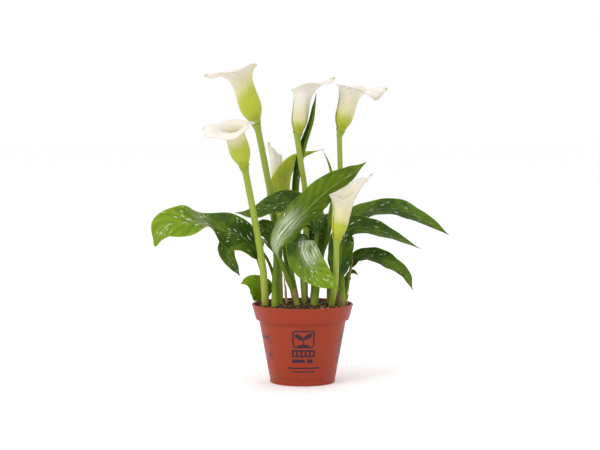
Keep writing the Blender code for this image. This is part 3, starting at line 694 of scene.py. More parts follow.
def face_at(leaf, share):
    """Where the upper side looks at a share of the leaf's length."""
    for (start, low), (end, high) in zip(leaf.faces, leaf.faces[1:]):
        if share <= end:
            return Vector(low).normalized().lerp(Vector(high).normalized(), ease(share, start, end))
    return Vector(leaf.faces[-1][1])


def section_outs(half):
    """Places across a leaf from -1 to 1, close together at the midrib."""
    return [p * (0.35 + 0.65 * p * p) for p in (step / half for step in range(-half, half + 1))]


def leaf_skin(leaf, rings=64, half=10):
    """Rings and marks of a leaf: round on the stalk, then a thin blade with a midrib and wavy margins."""
    path = shoot_path(leaf.crown, leaf.foot, leaf.spine)
    length = path_length(path)
    outs = section_outs(half)
    section = [(out, 1) for out in outs] + [(out, -1) for out in outs[-2:0:-1]]
    stalk_rings = max(int(rings * 0.3), 8)
    shares = [leaf.blade_from * step / stalk_rings for step in range(stalk_rings)]
    blade_rings = rings - stalk_rings
    for part in steps(blade_rings):
        shares.append(mix(leaf.blade_from, 1.0, 0.35 * math.sin(math.pi / 2 * part) + 0.65 * part))
    phase = len(leaf.name) * 1.7 + leaf.width
    skin, marks = [], []
    for share, (place, direction) in zip(shares, stations(path, shares)):
        blade = max((share - leaf.blade_from) / (1 - leaf.blade_from), 0.0)
        stalk = leaf.stalk * MM * mix(1.0, 0.75, min(share / leaf.blade_from, 1.0))
        flat = ease(blade, 0.0, 0.16)
        upper = face_at(leaf, share)
        upper = (upper - direction * upper.dot(direction)).normalized()
        side = direction.cross(upper).normalized()
        tip = 1 - 0.45 * ease(blade, 0.86, 0.97)
        sheath = 1 + 0.5 * (1 - ease(share, 0, leaf.blade_from))
        wide = max(blade_half_width(leaf, min(blade, 0.997)) * MM * tip, stalk * (1 - blade) * sheath)
        thick = mix(stalk, BLADE_THICKNESS / 2, flat)
        fold = math.radians(leaf.fold) * flat
        swell = flat * ease(1 - blade, 0.0, 0.3)
        rib = mix(0.6, 0.15, blade) * leaf.stalk / 3 * MM * flat * min(wide / (4 * MM), 1)
        ring, values = [], []
        for out, facing in section:
            hug = facing * math.sqrt(max(1 - out * out, 0.0)) * thick
            bend = fold * abs(out)
            slope = math.copysign(1.5 * math.sqrt(abs(out)) * math.sin(fold), out)
            outward = (upper * (math.cos(bend) - bend * math.sin(bend)) - side * slope).normalized()
            lift = abs(out) ** 1.5 * math.sin(fold) * wide
            shift = 1.4 if out > 0 else 0.0
            ripple = math.sin(blade * leaf.waves * math.tau + phase + shift)
            ripple += 0.5 * math.sin(blade * leaf.waves * 2.3 * math.tau + phase * 2 + shift)
            lift += ripple * leaf.wave * MM * swell * out * out
            lift -= rib * bell(out, 0, 0.10 if facing > 0 else 0.13) * (0.5 if facing > 0 else 1.0)
            ring.append(place + side * out * math.cos(bend) * wide + upper * lift + outward * hug)
            blade_mark = (share - leaf.blade_from) / (1 - leaf.blade_from)
            values.append({"across": out, "along": blade_mark, "under": (1 - facing) / 2,
                           "run": share * length})
        skin.append(ring)
        marks.append(values)
    return skin, marks


def spathe_frame(flower):
    """The flower's axis, the way its lip points and the way across."""
    axis = Vector(flower.axis).normalized()
    lip = Vector(flower.lip_to)
    lip = (lip - axis * lip.dot(axis)).normalized()
    return axis, lip, axis.cross(lip)


def spathe_foot_radius(flower):
    """The spathe's radius where it wraps the stem: clear of it, with room for the overlap."""
    return (flower.stem[1] * MM + CLEARANCE + SPATHE_THICKNESS / 2 + SPATHE_OVERLAP) / math.cos(
        SPATHE_COLUMN_STEP)


def flower_seat(flower):
    """Where the stem ends, inside the spathe."""
    axis, _, _ = spathe_frame(flower)
    return plant_point(*flower.spine[-1]) + axis * 2 * SPATHE_SEAT


def spathe_column(flower, across, rows):
    """One run of points of the rolled sheet from its foot to its rim. across is -1 to 1 between margins."""
    axis, lip_way, side_way = spathe_frame(flower)
    foot = flower_seat(flower) - axis * SPATHE_SEAT
    lip = ((1 + math.cos(math.pi * across)) / 2) ** flower.point
    length = mix(flower.side, flower.lip, lip) + flower.beak * bell(across, 0, 0.045)
    extra = sum(angle * bell(across, centre, width) for centre, width, angle in flower.lobes)
    ripple = 5 * math.sin(across * 9 + flower.side) + 3 * math.sin(across * 17 + flower.lip)
    radius = spathe_foot_radius(flower)
    height = 0.0
    fine = 3
    points = []
    for step in range(rows * fine + 1):
        rise = step / (rows * fine)
        run = rise * length
        unroll = ease(rise, 0.45, 1.0)
        turn = across * mix(SPATHE_WRAP, math.radians(flower.spread), unroll)
        if step % fine == 0:
            reach = max(radius, 0.002) + SPATHE_OVERLAP * across * abs(across)
            around = lip_way * math.cos(turn) + side_way * math.sin(turn)
            points.append((foot + axis * height + around * reach, rise, run * MM))
        flare = mix(flower.flare_side, flower.flare_lip, (1 + math.cos(turn)) / 2) + extra + ripple
        bulge = flower.bulb * ease(run, 2, 5) * (1 - ease(run, 5, 0.42 * flower.side))
        open_up = ease(run, flower.opens * flower.side, length)
        roll = flower.curl * ease(run, length - 9, length)
        angle = math.radians(bulge + mix(flower.tube, flare, open_up) * ease(run, 2, 6) + roll)
        stride = length * MM / (rows * fine)
        radius += math.sin(angle) * stride
        height += math.cos(angle) * stride
    return points


# ---------------------------------------------------------------- finishes


def toned(colour, factor, lift=0.0):
    return tuple(min(value * factor + lift, 1) for value in colour)


def between(low, high, share):
    """A colour between two others."""
    return tuple(mix(a, b, share) for a, b in zip(low, high))


def rounded_box(u, v, centre, half, corner):
    """Distance outside a rounded rectangle, in the units of u and v."""
    over_u = (abs(u - centre[0]) - (half[0] - corner)).high(0)
    over_v = (abs(v - centre[1]) - (half[1] - corner)).high(0)
    return (over_u * over_u + over_v * over_v) ** 0.5 - corner


def oval(u, v, centre, reach, width, tilt):
    """Below 1 inside an oval whose long side lies at an angle in degrees."""
    cos, sin = math.cos(math.radians(tilt)), math.sin(math.radians(tilt))
    along = (u - centre[0]) * cos + (v - centre[1]) * sin
    across = (v - centre[1]) * cos - (u - centre[0]) * sin
    return (along / reach) ** 2 + (across / width) ** 2


def filled(distance, soft=0.12):
    return distance.fall(-soft, soft)


def print_mask(surface):
    """The printed marks: a sprout in a rounded frame, plain bars under it, and plain side marks."""
    x, y, z = surface.axes()
    u = x.math("ARCTAN2", x, -y) * PRINT_RADIUS_MM
    v = z / MM
    frame_out = rounded_box(u, v, (1, 56.5), (12.5, 10.5), 4)
    ink = filled(abs(frame_out + 0.9) - 0.9)
    right_leaf, left_leaf, ground = ((6, 60), 5.6, 2.7, 35), ((-4, 59), 5.6, 2.7, 145), ((1, 48.8), 7, 1.6, 0)
    for centre, reach, width, tilt in (right_leaf, left_leaf, ground):
        ink = ink.high(filled(oval(u, v, centre, reach, width, tilt) - 1, 0.08))
    plate = filled(rounded_box(u, v, (1, 39.5), (14, 4.4), 1.2))
    for index in range(5):
        plate = plate * (1 - filled(rounded_box(u, v, (-9 + 5 * index, 39.5), (1.3, 2.4), 1.0)))
    ink = ink.high(plate)
    inner_frame = filled(rounded_box(u, v, (-54, 45), (11.2, 14.2), 0.6))
    ink = ink.high(filled(rounded_box(u, v, (-54, 45), (12, 15), 0.6)) * (1 - inner_frame))
    for centre, half in (((1, 53), (0.8, 5)), ((-5, 30.5), (8, 2)), ((9, 30.5), (3.4, 2.4)),
                         ((1, 22), (21, 0.9)), ((1, 17.6), (15, 0.8)), ((-53, 56), (9, 1.5)),
                         ((-46.5, 36), (1.6, 3)), ((56, 56), (2.6, 7)), ((56, 41), (2.6, 6)),
                         ((56, 29), (2.6, 4)), ((62, 44), (1.6, 16))):
        ink = ink.high(filled(rounded_box(u, v, centre, half, 0.5)))
    worn = surface.noise(surface.place(), 900, 2).fall(0.28, 0.34)
    return ink * (1 - worn * 0.6)


def pot_material(pot):
    surface = Surface("terracotta_plastic", Specular_IOR_Level=0.25)
    x, y, z = surface.axes()
    place = surface.place()
    cloud = surface.noise(place, 38, 4)
    grain = surface.noise(place, 1400, 2)
    plastic = tuple(pot.plastic)
    pale = toned(plastic, 1.22, 0.012)
    deep = toned(plastic, 0.78)
    base = surface.blend(cloud.fall(0.62, 0.38), pale, plastic)
    base = surface.blend((grain.fall(0.66, 0.60)) * 0.35, deep, base)
    # Splashes of dried soil lie low on the wall.
    splash = surface.noise(place, 160, 5).fall(0.56, 0.66)
    near_foot = z.fall(0.004, 0.02)
    dust = (1 - splash) * near_foot * 0.35
    base = surface.blend(dust, base, (0.20, 0.10, 0.055))
    edge = z.fall(pot.height - 0.0012, pot.height - 0.0002)
    base = surface.blend((1 - edge) * 0.35, base, pale)
    ink = print_mask(surface)
    # The floor, the drain holes and the rim band stay free of ink.
    outside = (x * x + y * y) ** 0.5 - (PRINT_REACH + z * PRINT_SLOPE)
    ink = ink * (1 - outside.fall(0.0, 0.0004)) * z.fall(PRINT_TOP, PRINT_TOP + 0.0005)
    base = surface.blend(ink * 0.93, base, tuple(pot.print_ink))
    surface.set("Base Color", base)
    surface.set("Roughness", cloud * 0.16 + 0.34 - ink * 0.06)
    surface.bump(grain * 0.4 + cloud * 1.5, 0.25, 0.0004)
    return surface.material


def soil_material(soil, name, crumbs):
    surface = Surface(name, Roughness=0.95, Specular_IOR_Level=0.2)
    place = surface.place()
    coarse = surface.noise(place, 260, 5, 0.65)
    fine = surface.noise(place, 1300, 3)
    dark, light = tuple(soil.dark), tuple(soil.light)
    middle = between(dark, light, 0.22)
    base = surface.blend(coarse.fall(0.60, 0.42), middle, dark)
    if crumbs:
        tone = surface.mark("tone")
        base = surface.blend(tone.fall(0.95, 0.45), base, light)
    base = surface.blend(fine.fall(0.64, 0.56) * 0.35, base, middle)
    surface.set("Base Color", base)
    surface.bump(coarse * 1.0 + fine * 0.4, 0.8, 0.0012)
    return surface.material


def stem_material(flowers):
    surface = Surface("stem_skin", Specular_IOR_Level=0.3, Subsurface_Weight=0.2, Subsurface_Scale=0.002)
    run, turn, height = surface.mark("run"), surface.mark("turn"), surface.mark("height")
    streak = surface.noise(surface.vector(turn * 5, run * 9, height), 3.0, 3)
    fine = (turn * 38).sin()
    stem, foot = tuple(flowers.stem), tuple(flowers.stem_foot)
    pale = between(stem, foot, 0.55)
    base = surface.blend(run.fall(0.012, 0.075), stem, foot)
    base = surface.blend(streak.fall(0.60, 0.44) * 0.8, pale, base)
    deep = toned(stem, 0.7)
    base = surface.blend(fine.fall(-0.9, 0.1) * 0.18, base, deep)
    surface.set("Base Color", base)
    surface.set("Roughness", streak * 0.2 + 0.32)
    surface.bump(streak * 0.6 + fine * 0.15, 0.25, 0.0005)
    return surface.material


def spathe_material(flowers, flower):
    """Green at the foot and higher up by the margins, then cream, then ivory with a faint blush."""
    surface = Surface(f"spathe_{flower.name}_skin", Specular_IOR_Level=0.25, Subsurface_Weight=0.3,
                      Subsurface_Scale=0.003, Sheen_Weight=0.05)
    rise, across, run = surface.mark("rise"), surface.mark("across"), surface.mark("run")
    flow = surface.noise(surface.vector(across * 26, run * 22, 0.3), 1.0, 4)
    vein = (across * 95 + flow * 9).sin()
    mottle = surface.noise(surface.place(), 95, 4)
    white, cream, green = tuple(flowers.white), tuple(flowers.cream), tuple(flowers.green)
    level = rise + (mottle - 0.5) * 0.12 + (flow - 0.5) * 0.14 - abs(across) * flower.green_side
    base = surface.blend(level.fall(flower.green, flower.green + flower.cream), white, cream)
    base = surface.blend(level.fall(flower.green * 0.6, flower.green + 0.10) * 0.9, base, green)
    deep = toned(green, 0.6)
    ribs = vein.fall(-0.95, 0.2) * level.fall(flower.green + 0.05, flower.green + 0.4)
    base = surface.blend(ribs * 0.14, base, deep)
    base = surface.blend(rise.fall(0.02, 0.2) * 0.5, base, deep)
    blush = tuple(value * factor for value, factor in zip(white, (0.90, 0.80, 0.76)))
    base = surface.blend(mottle.fall(0.62, 0.42) * (1 - level.fall(0.45, 0.8)) * 0.45, base, blush)
    beak = abs(across).fall(0.01, 0.05) * (1 - rise.fall(0.93, 0.98))
    base = surface.blend(beak * 0.7, base, deep)
    surface.set("Base Color", base)
    surface.set("Subsurface Radius", (0.9, 0.8, 0.45))
    surface.set("Roughness", mottle * 0.2 + 0.36)
    surface.bump(vein * 0.15 + flow * 0.9, 0.16, 0.0005)
    return surface.material


def spadix_material(flowers):
    surface = Surface("spadix_grains", Roughness=0.75, Subsurface_Weight=0.15, Subsurface_Scale=0.001)
    grain = surface.mark("grain")
    place = surface.place()
    gold = tuple(flowers.spadix)
    shade = tuple(value * f for value, f in zip(gold, (0.62, 0.55, 0.4)))
    pale = toned(gold, 1.12, 0.05)
    # The grooves between the grains take the darker gold: painted shade.
    base = surface.blend(grain.fall(0.25, 0.75), gold, shade)
    base = surface.blend(surface.noise(place, 1500, 2).fall(0.62, 0.52), pale, base)
    surface.set("Base Color", base)
    surface.bump(surface.noise(place, 2500, 2), 0.3, 0.0003)
    return surface.material


LOOKS = {
    # name: (upper, under, spots, painted sheen centre, painted sheen reach, painted sheen lean to one side,
    # tip brightness)
    "dark": ("dark", "dark", 0.6, 0.0, 0.0, 0.0, 0.1),
    "spotted": ("dark", "dark", 1.0, 0.0, 0.0, 0.0, 0.15),
    "bright_tip": ("dark", "bright", 1.0, 0.0, 0.0, 0.0, 1.25),
    "hanging": ("dark", "bright", 1.0, 0.40, 0.30, -0.40, 1.2),
    "silver": ("dark", "dark", 0.3, 0.17, 0.30, 0.22, 0.2),
    "young": ("bright", "bright", 0.2, 0.0, 0.0, 0.0, 0.2),
    "olive": ("olive", "olive", 0.0, 0.0, 0.0, 0.0, 0.0),
}


def leaf_material(leaves, flowers, look):
    """Blade and stalk: rows of curved veins, white windows between them, a pale midrib and silvery streaks of
    painted highlight.
    """
    upper, under, spots, painted_sheen_at, painted_sheen_reach, painted_sheen_lean, tip_bright = LOOKS[look]
    surface = Surface(f"leaf_{look}_skin", Specular_IOR_Level=0.16, Subsurface_Weight=0.1,
                      Subsurface_Scale=0.0015)
    surface.set("Subsurface Radius", (0.5, 1.0, 0.2))
    across, along, below = surface.mark("across"), surface.mark("along"), surface.mark("under")
    out = abs(across)
    side = across.math("GREATER_THAN", across, 0.0) * 7.3
    lane = along - (out ** 0.75) * 0.20
    wander = surface.noise(surface.vector(across * 1.5, along * 5, side), 2.0, 3)
    vein = (lane * 230 + wander * 6).sin()
    broad = (lane * 62 + wander * 5).sin()
    dark, bright = tuple(leaves.dark), tuple(leaves.bright)
    colours = {"dark": dark, "bright": bright, "olive": tuple(leaves.olive)}
    top, bottom = colours[upper], colours[under]
    bottom = between(bottom, bright, 0.35)
    base = surface.blend(below, top, bottom)
    cloud = surface.noise(surface.place(), 42, 4)
    base = surface.blend(cloud.fall(0.64, 0.40) * 0.35, base, bright)
    base = surface.blend((along + (wander - 0.5) * 0.3).fall(0.80, 0.35) * tip_bright * 0.75, base, bright)
    deep = toned(top, 0.55)
    base = surface.blend(vein.fall(-0.8, 0.3) * 0.20, base, deep)
    base = surface.blend(broad.fall(-0.9, 0.4) * 0.25, base, deep)
    base = surface.blend((1 - out.fall(0.93, 0.985)) * 0.35, base, bright)
    rib_colour = between(bright, (0.75, 0.78, 0.5), 0.35)
    base = surface.blend(out.fall(0.012, 0.045) * (0.22 + 0.3 * below), base, rib_colour)
    spot_white = tuple(leaves.spots)
    # The silver streaks are a painted highlight: the sheen of light on the blade, painted pale into its
    # colour.
    if painted_sheen_reach:
        streak = surface.noise(surface.vector(across * 13, along * 2.2, 0.7), 1.6, 4, 0.6)
        thread = surface.noise(surface.vector(across * 34, along * 4.0, 0.2), 1.6, 3, 0.6)
        drift = abs(along - painted_sheen_at + (streak - 0.5) * 0.35)
        zone = drift.fall(painted_sheen_reach * 0.30, painted_sheen_reach)
        lean = abs(across - painted_sheen_lean + (thread - 0.5) * 0.7).fall(0.30, 0.85)
        silver = zone * lean * (streak * 0.5 + thread * 0.5).fall(0.59, 0.44)
        base = surface.blend(silver * 0.9, base, toned(spot_white, 0.92))
    if spots:
        cell = surface.vector(across * 3.6, lane * 46 + side, side)
        size = surface.cells(cell, 1)
        chosen = size.math("GREATER_THAN", size, 1 - 0.64 * spots)
        ragged = (cloud - 0.5) * 0.5 + (1 - size) * 0.12
        spot = (surface.cells(cell) + ragged).fall(0.18, 0.30) * chosen
        patch = surface.noise(surface.vector(across * 1.2, along * 4, side + 2), 1.6, 2).fall(0.34, 0.44)
        spot = spot * (1 - patch) * out.fall(0.86, 0.96)
        spot = spot * along.fall(0.96, 0.98) * (1 - along.fall(0.04, 0.08))
        base = surface.blend(spot * 0.86, base, spot_white)
    stalk = along.fall(-0.06, 0.05)
    stem, foot = tuple(flowers.stem), tuple(flowers.stem_foot)
    run = surface.mark("run")
    stalk_green = between(stem, dark, 0.72)
    stalk_foot = between(foot, stem, 0.8)
    stalk_colour = surface.blend(run.fall(0.012, 0.036), stalk_green, stalk_foot)
    fibre = surface.noise(surface.vector(across * 14, run * 30, below * 3), 2.0, 3)
    stalk_colour = surface.blend(1 - (1 - fibre.fall(0.60, 0.44)) * 0.45, stalk_foot, stalk_colour)
    base = surface.blend(stalk, base, stalk_colour)
    surface.set("Base Color", base)
    surface.set("Roughness", cloud * 0.22 + 0.30 + below * 0.08)
    surface.bump(vein * 0.35 + broad * 0.8 + wander * 0.6, 0.35, 0.0006)
    return surface.material


def dry_material(leaves):
    surface = Surface("dry_strip", Roughness=0.85, Specular_IOR_Level=0.25)
    across, run = surface.mark("across"), surface.mark("run")
    fibre = surface.noise(surface.vector(across * 10, run * 60, 0.5), 2.0, 4, 0.6)
    dry = tuple(leaves.dry)
    base = surface.blend(fibre.fall(0.62, 0.40), toned(dry, 1.5), toned(dry, 0.45))
    surface.set("Base Color", base)
    surface.bump(fibre, 0.6, 0.0006)
    return surface.material


def plain_floor_material(stage):
    surface = Surface("studio_floor", Roughness=0.9, Specular_IOR_Level=0.1)
    surface.set("Base Color", tuple(stage.floor))
    return surface.material


# ---------------------------------------------------------------- operators


class CALLA_OT_pot(bpy.types.Operator):
    """Turn the pot, cut its drain holes and print it"""

    bl_idname = "calla.pot"
    bl_label = "Pot"

    def execute(self, context):
        pot = context.scene.calla_pot
        step = band_bottom(pot)
        ring_inner = pot.base_radius - FOOT_RING
        floor = FLOOR_RAISE + FLOOR_THICKNESS
        top = pot.height
        lip = LIP_WIDTH / 2
        outline = [
            (0, 0),
            (PAD_RADIUS, 0),
            (PAD_RADIUS + FLOOR_RAISE, FLOOR_RAISE),
            (ring_inner - FLOOR_RAISE, FLOOR_RAISE),
            (ring_inner, 0),
            (pot.base_radius - FOOT_EDGE, 0),
            (pot.base_radius, FOOT_EDGE),
            (pot.base_radius + 0.0004, FOOT_HEIGHT - FOOT_EDGE),
            (pot.base_radius + 0.0006, FOOT_HEIGHT - FOOT_EDGE / 2),
            (body_radius(pot, FOOT_HEIGHT), FOOT_HEIGHT),
            *wall_points(body_radius, pot, FOOT_HEIGHT, step - 0.0004, 8),
            (body_radius(pot, step) + 0.0003, step - 0.0001),
            (band_radius(pot, step) - BAND_EDGE, step),
            (band_radius(pot, step) - BAND_EDGE / 4, step + BAND_EDGE / 4),
            (band_radius(pot, step), step + BAND_EDGE),
            *wall_points(band_radius, pot, step + BAND_EDGE, top - LIP_DROP, 4),
        ]
        for k in range(LIP_STEPS + 1):
            turn = math.pi * k / LIP_STEPS
            outline.append((pot.rim_radius - lip + math.cos(turn) * lip, top - lip + math.sin(turn) * lip))
        outline += [
            (band_radius(pot, top - LIP_DEPTH) - pot.wall, top - LIP_DEPTH),
            (band_radius(pot, step + FLOOR_FILLET) - pot.wall, step + FLOOR_FILLET),
            (body_radius(pot, step) - pot.wall, step - pot.wall),
            (body_radius(pot, floor + FLOOR_FILLET) - pot.wall, floor + FLOOR_FILLET),
            (body_radius(pot, floor) - pot.wall - FLOOR_FILLET, floor),
            (0, floor),
        ]
        shell = lathe(outline, POT_SEGMENTS)
        piece = add_piece("pot_shell", shell, pot_material(pot), ["pot"], 35)
        drills = []
        ring = (PAD_RADIUS + ring_inner) / 2
        for hole in range(DRAIN_COUNT):
            angle = math.tau * (hole + 0.5) / DRAIN_COUNT
            bm = bmesh.new()
            place = Matrix.Translation((ring * math.cos(angle), ring * math.sin(angle), 0))
            bmesh.ops.create_cone(bm, cap_ends=True, segments=32, radius1=DRAIN_RADIUS,
                                  radius2=DRAIN_RADIUS, depth=DRAIN_DEPTH, matrix=place)
            drills.append(add_mesh("drain_drill", bm))
            cut = piece.modifiers.new(f"drain_{hole}", "BOOLEAN")
            cut.operation = "DIFFERENCE"
            cut.object = drills[-1]
        evaluated = piece.evaluated_get(context.evaluated_depsgraph_get())
        drilled = bpy.data.meshes.new_from_object(evaluated)
        piece.modifiers.clear()
        piece.data = drilled
        for drill in drills:
            bpy.data.objects.remove(drill, do_unlink=True)
        return {"FINISHED"}


def soil_surface(pot, x, y):
    """The height of the soil's surface over its level, at a place in metres."""
    share = min(math.hypot(x, y) / soil_radius(pot, soil_level()), 1.0)
    ripple = math.sin(x * 210 + 1.0) * math.cos(y * 190 - 0.5)
    lumps = noise.noise(Vector((x, y, 0)) * 260) * 0.0011 + noise.noise(Vector((x, y, 3)) * 620) * 0.0006
    return (SOIL_DOME * (1 - share**2) - SOIL_EDGE_FALL * share**4
            + SOIL_BUMP * ripple * (1 - share) + lumps * min((1 - share) * 12, 1))


class CALLA_OT_soil(bpy.types.Operator):
    """Fill the pot with lumpy compost and scatter crumbs, bark and fibres on it"""

    bl_idname = "calla.soil"
    bl_label = "Soil"

    def execute(self, context):
        pot = context.scene.calla_pot
        soil = context.scene.calla_soil
        level = soil_level()
        low = FLOOR_RAISE + FLOOR_THICKNESS + CLEARANCE
        shoulder = band_bottom(pot) - pot.wall
        above = shoulder + 2 * pot.wall + 0.0012
        edge = soil_radius(pot, level - SOIL_EDGE_FALL) - 0.0012
        outline = [(0, low), (soil_radius(pot, low + 0.004) - 0.004, low),
                   (soil_radius(pot, low + 0.004), low + 0.004),
                   (soil_radius(pot, shoulder) - 0.0002, shoulder - 0.0004),
                   (soil_radius(pot, above) - 0.001, above),
                   (edge, level - SOIL_EDGE_FALL)]
        rings = 56
        outline += [(edge * ring / rings, level) for ring in range(rings - 1, -1, -1)]
        bm = lathe(outline, 120)
        for vert in bm.verts:
            if vert.co.z > level - 0.0001:
                vert.co.z = level + soil_surface(pot, vert.co.x, vert.co.y)
        add_piece("compost", bm, soil_material(soil, "compost", False), ["potting_soil"], 60)

        draw = random.Random(soil.seed)
        bm = bmesh.new()
        tone = bm.verts.layers.float.new("tone")
        for index in range(soil.crumbs + soil.fibres):
            angle = draw.uniform(0, math.tau)
            share = draw.random() ** 0.42
            reach = share * (edge - 0.002)
            x, y = reach * math.cos(angle), reach * math.sin(angle)
            lift = soil_surface(pot, x, y) + level
            turn = Matrix.Rotation(draw.uniform(0, math.tau), 4, "Z")
            tip = Matrix.Rotation(draw.uniform(-0.5, 0.5), 4, "X")
            place = Matrix.Translation((x, y, lift + draw.uniform(0, 0.0008) + 0.0012 * share**6))
            if index < soil.crumbs:
                size = draw.uniform(0.0005, 0.0016)
                shape = Matrix.Diagonal((1, draw.uniform(0.6, 1.2), draw.uniform(0.5, 0.9), 1))
                made = bmesh.ops.create_icosphere(bm, subdivisions=1, radius=size,
                                                  matrix=place @ turn @ tip @ shape)
                value = draw.random() ** 2.2
            else:
                size = draw.uniform(0.0022, 0.0062)
                thick = draw.uniform(0.10, 0.28)
                shape = Matrix.Diagonal((1, thick, thick * draw.uniform(0.3, 0.7), 1))
                made = bmesh.ops.create_cube(bm, size=size, matrix=place @ turn @ tip @ shape)
                value = draw.uniform(0.35, 1.0)
            for vert in made["verts"]:
                jitter = Vector((draw.uniform(-1, 1), draw.uniform(-1, 1), draw.uniform(-1, 1)))
                vert.co += jitter * size * 0.16
                vert[tone] = value
        add_piece("compost_crumbs", bm, soil_material(soil, "crumbs", True), [], 30)
        return {"FINISHED"}


class CALLA_OT_tubers(bpy.types.Operator):
    """Give the buried tubers their brown skin"""

    bl_idname = "calla.tubers"
    bl_label = "Tubers"

    def execute(self, context):
        surface = Surface("tuber_skin", Roughness=0.85)
        rings = surface.noise(surface.place(), 220, 5)
        surface.set("Base Color", surface.blend(rings, (0.10, 0.05, 0.02), (0.34, 0.20, 0.09)))
        surface.bump(rings, 0.6, 0.001)
        for name in ("tuber_left", "tuber_middle", "tuber_right", "tuber_back"):
            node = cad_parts[name]
            node.data.materials.clear()
            node.data.materials.append(surface.material)
        return {"FINISHED"}


class CALLA_OT_stems(bpy.types.Operator):
    """Grow the six smooth flower stems"""

    bl_idname = "calla.stems"
    bl_label = "Stems"

    def execute(self, context):
        material = stem_material(context.scene.calla_flowers)
        for flower in FLOWERS:
            path = shoot_path(flower.crown, flower.foot, flower.spine)
            top, seat = plant_point(*flower.spine[-1]), flower_seat(flower)
            path += [mix(top, seat, step / 4) for step in range(1, 5)]
            length = path_length(path)
            collar = 1 - (SPATHE_SEAT + NECK_GAP) / length
            neck = NECK_LENGTH / length
            shares = [(collar - neck) * step / STEM_RINGS for step in range(STEM_RINGS)]
            shares += [collar - neck * (1 - step / NECK_RINGS) for step in range(NECK_RINGS + 1)]
            shares += [collar + NECK_GAP / length, 1]
            low, high = flower.stem
            skin, marks = [], []
            for share, (place, direction) in zip(shares, stations(path, shares)):
                radius = mix(low, high, ease(share, 0, 0.85)) * MM
                if share <= collar:
                    radius = mix(radius, spathe_foot_radius(flower), ease(share, collar - neck, collar) ** 2)
                skin.append(round_ring(place, direction, radius, STEM_SIDES, 0.012))
                marks.append([{"run": share * length, "turn": math.sin(turn), "height": share}
                              for turn in turns(STEM_SIDES)])
            name = f"stem_{flower.name}"
            add_piece(f"{name}_skin", sweep(skin, marks), material, [name])
        return {"FINISHED"}


class CALLA_OT_spathes(bpy.types.Operator):
    """Roll the six white spathes"""

    bl_idname = "calla.spathes"
    bl_label = "Spathes"

    def execute(self, context):
        across = [column / SPATHE_COLUMNS * 2 - 1 for column in range(SPATHE_COLUMNS + 1)]
        for flower in FLOWERS:
            bm = bmesh.new()
            bmesh.ops.create_grid(bm, x_segments=SPATHE_COLUMNS, y_segments=SPATHE_ROWS, size=1)
            layers = [bm.verts.layers.float.new(name) for name in ("across", "rise", "run")]
            runs = [spathe_column(flower, share, SPATHE_ROWS) for share in across]
            for vert in bm.verts:
                column = round((vert.co.x + 1) / 2 * SPATHE_COLUMNS)
                row = round((vert.co.y + 1) / 2 * SPATHE_ROWS)
                place, rise, run = runs[column][row]
                vert.co = place
                for layer, value in zip(layers, (across[column], rise, run)):
                    vert[layer] = value
            name = f"spathe_{flower.name}"
            material = spathe_material(context.scene.calla_flowers, flower)
            add_wall(add_piece(f"{name}_skin", bm, material, [name], 70), SPATHE_THICKNESS)
        return {"FINISHED"}


class CALLA_OT_spadices(bpy.types.Operator):
    """Set the yellow, grainy spadices in the spathes"""

    bl_idname = "calla.spadices"
    bl_label = "Spadices"

    def execute(self, context):
        material = spadix_material(context.scene.calla_flowers)
        for flower in FLOWERS:
            axis, _, _ = spathe_frame(flower)
            base = flower_seat(flower) + axis * CLEARANCE
            across, side = cross_ways(axis)
            skin, marks = [], []
            for share in steps(SPADIX_SIDES):
                round_tip = math.sqrt(max(1 - (max(share - 0.75, 0) / 0.25) ** 2, 0.002))
                profile = round_tip * mix(0.85, 1, min(share * 6, 1))
                ring, values = [], []
                climb = share * flower.spadix * 1.9
                for turn in turns(SPADIX_SIDES):
                    spiral = SPADIX_SPIRALS * turn
                    grain = 0.5 + 0.5 * math.cos(spiral + climb) * math.cos(spiral - climb)
                    radius = SPADIX_RADIUS * profile * (0.90 + 0.10 * grain)
                    ring.append(base + axis * share * flower.spadix * MM
                                + (across * math.cos(turn) + side * math.sin(turn)) * radius)
                    values.append({"grain": grain})
                skin.append(ring)
                marks.append(values)
            name = f"spadix_{flower.name}"
            add_piece(f"{name}_grains", sweep(skin, marks), material, [name])
        return {"FINISHED"}


class CALLA_OT_leaves(bpy.types.Operator):
    """Grow the leaves with their stalks, veins and white windows"""

    bl_idname = "calla.leaves"
    bl_label = "Leaves"

    def execute(self, context):
        settings = context.scene.calla_leaves
        flowers = context.scene.calla_flowers
        materials = {look: leaf_material(settings, flowers, look) for look in LOOKS}
        for leaf in LEAVES:
            skin = sweep(*leaf_skin(leaf))
            add_piece(f"{leaf.name}_skin", skin, materials[leaf.look], [leaf.name], 80)
        return {"FINISHED"}


class CALLA_OT_dry_strips(bpy.types.Operator):
    """Add the dead brown strips between the stems"""

    bl_idname = "calla.dry_strips"
    bl_label = "Dry strips"

    def execute(self, context):
        material = dry_material(context.scene.calla_leaves)
        around = turns(STRAND_SIDES)
        for name, points, radius in DRY_STRANDS:
            path = smooth_path([plant_point(*point) for point in points])
            length = path_length(path)
            shares = steps(STRAND_RINGS)
            skin, marks = [], []
            for share, (place, direction) in zip(shares, stations(path, shares)):
                across, side = cross_ways(direction)
                twist = share * 3.0 + radius
                wide = radius * MM * mix(1.5, 0.5, share)
                thin = wide * 0.28
                wobble = noise.noise(place * 140) * radius * 0.5 * MM * share
                ring = []
                for turn in around:
                    a, b = math.cos(turn) * wide, math.sin(turn) * thin
                    ring.append(place + across * (a * math.cos(twist) - b * math.sin(twist) + wobble)
                                + side * (a * math.sin(twist) + b * math.cos(twist)))
                skin.append(ring)
                marks.append([{"across": math.cos(turn), "run": share * length} for turn in around])
            add_piece(f"{name}_strip", sweep(skin, marks), material, [name])
        return {"FINISHED"}


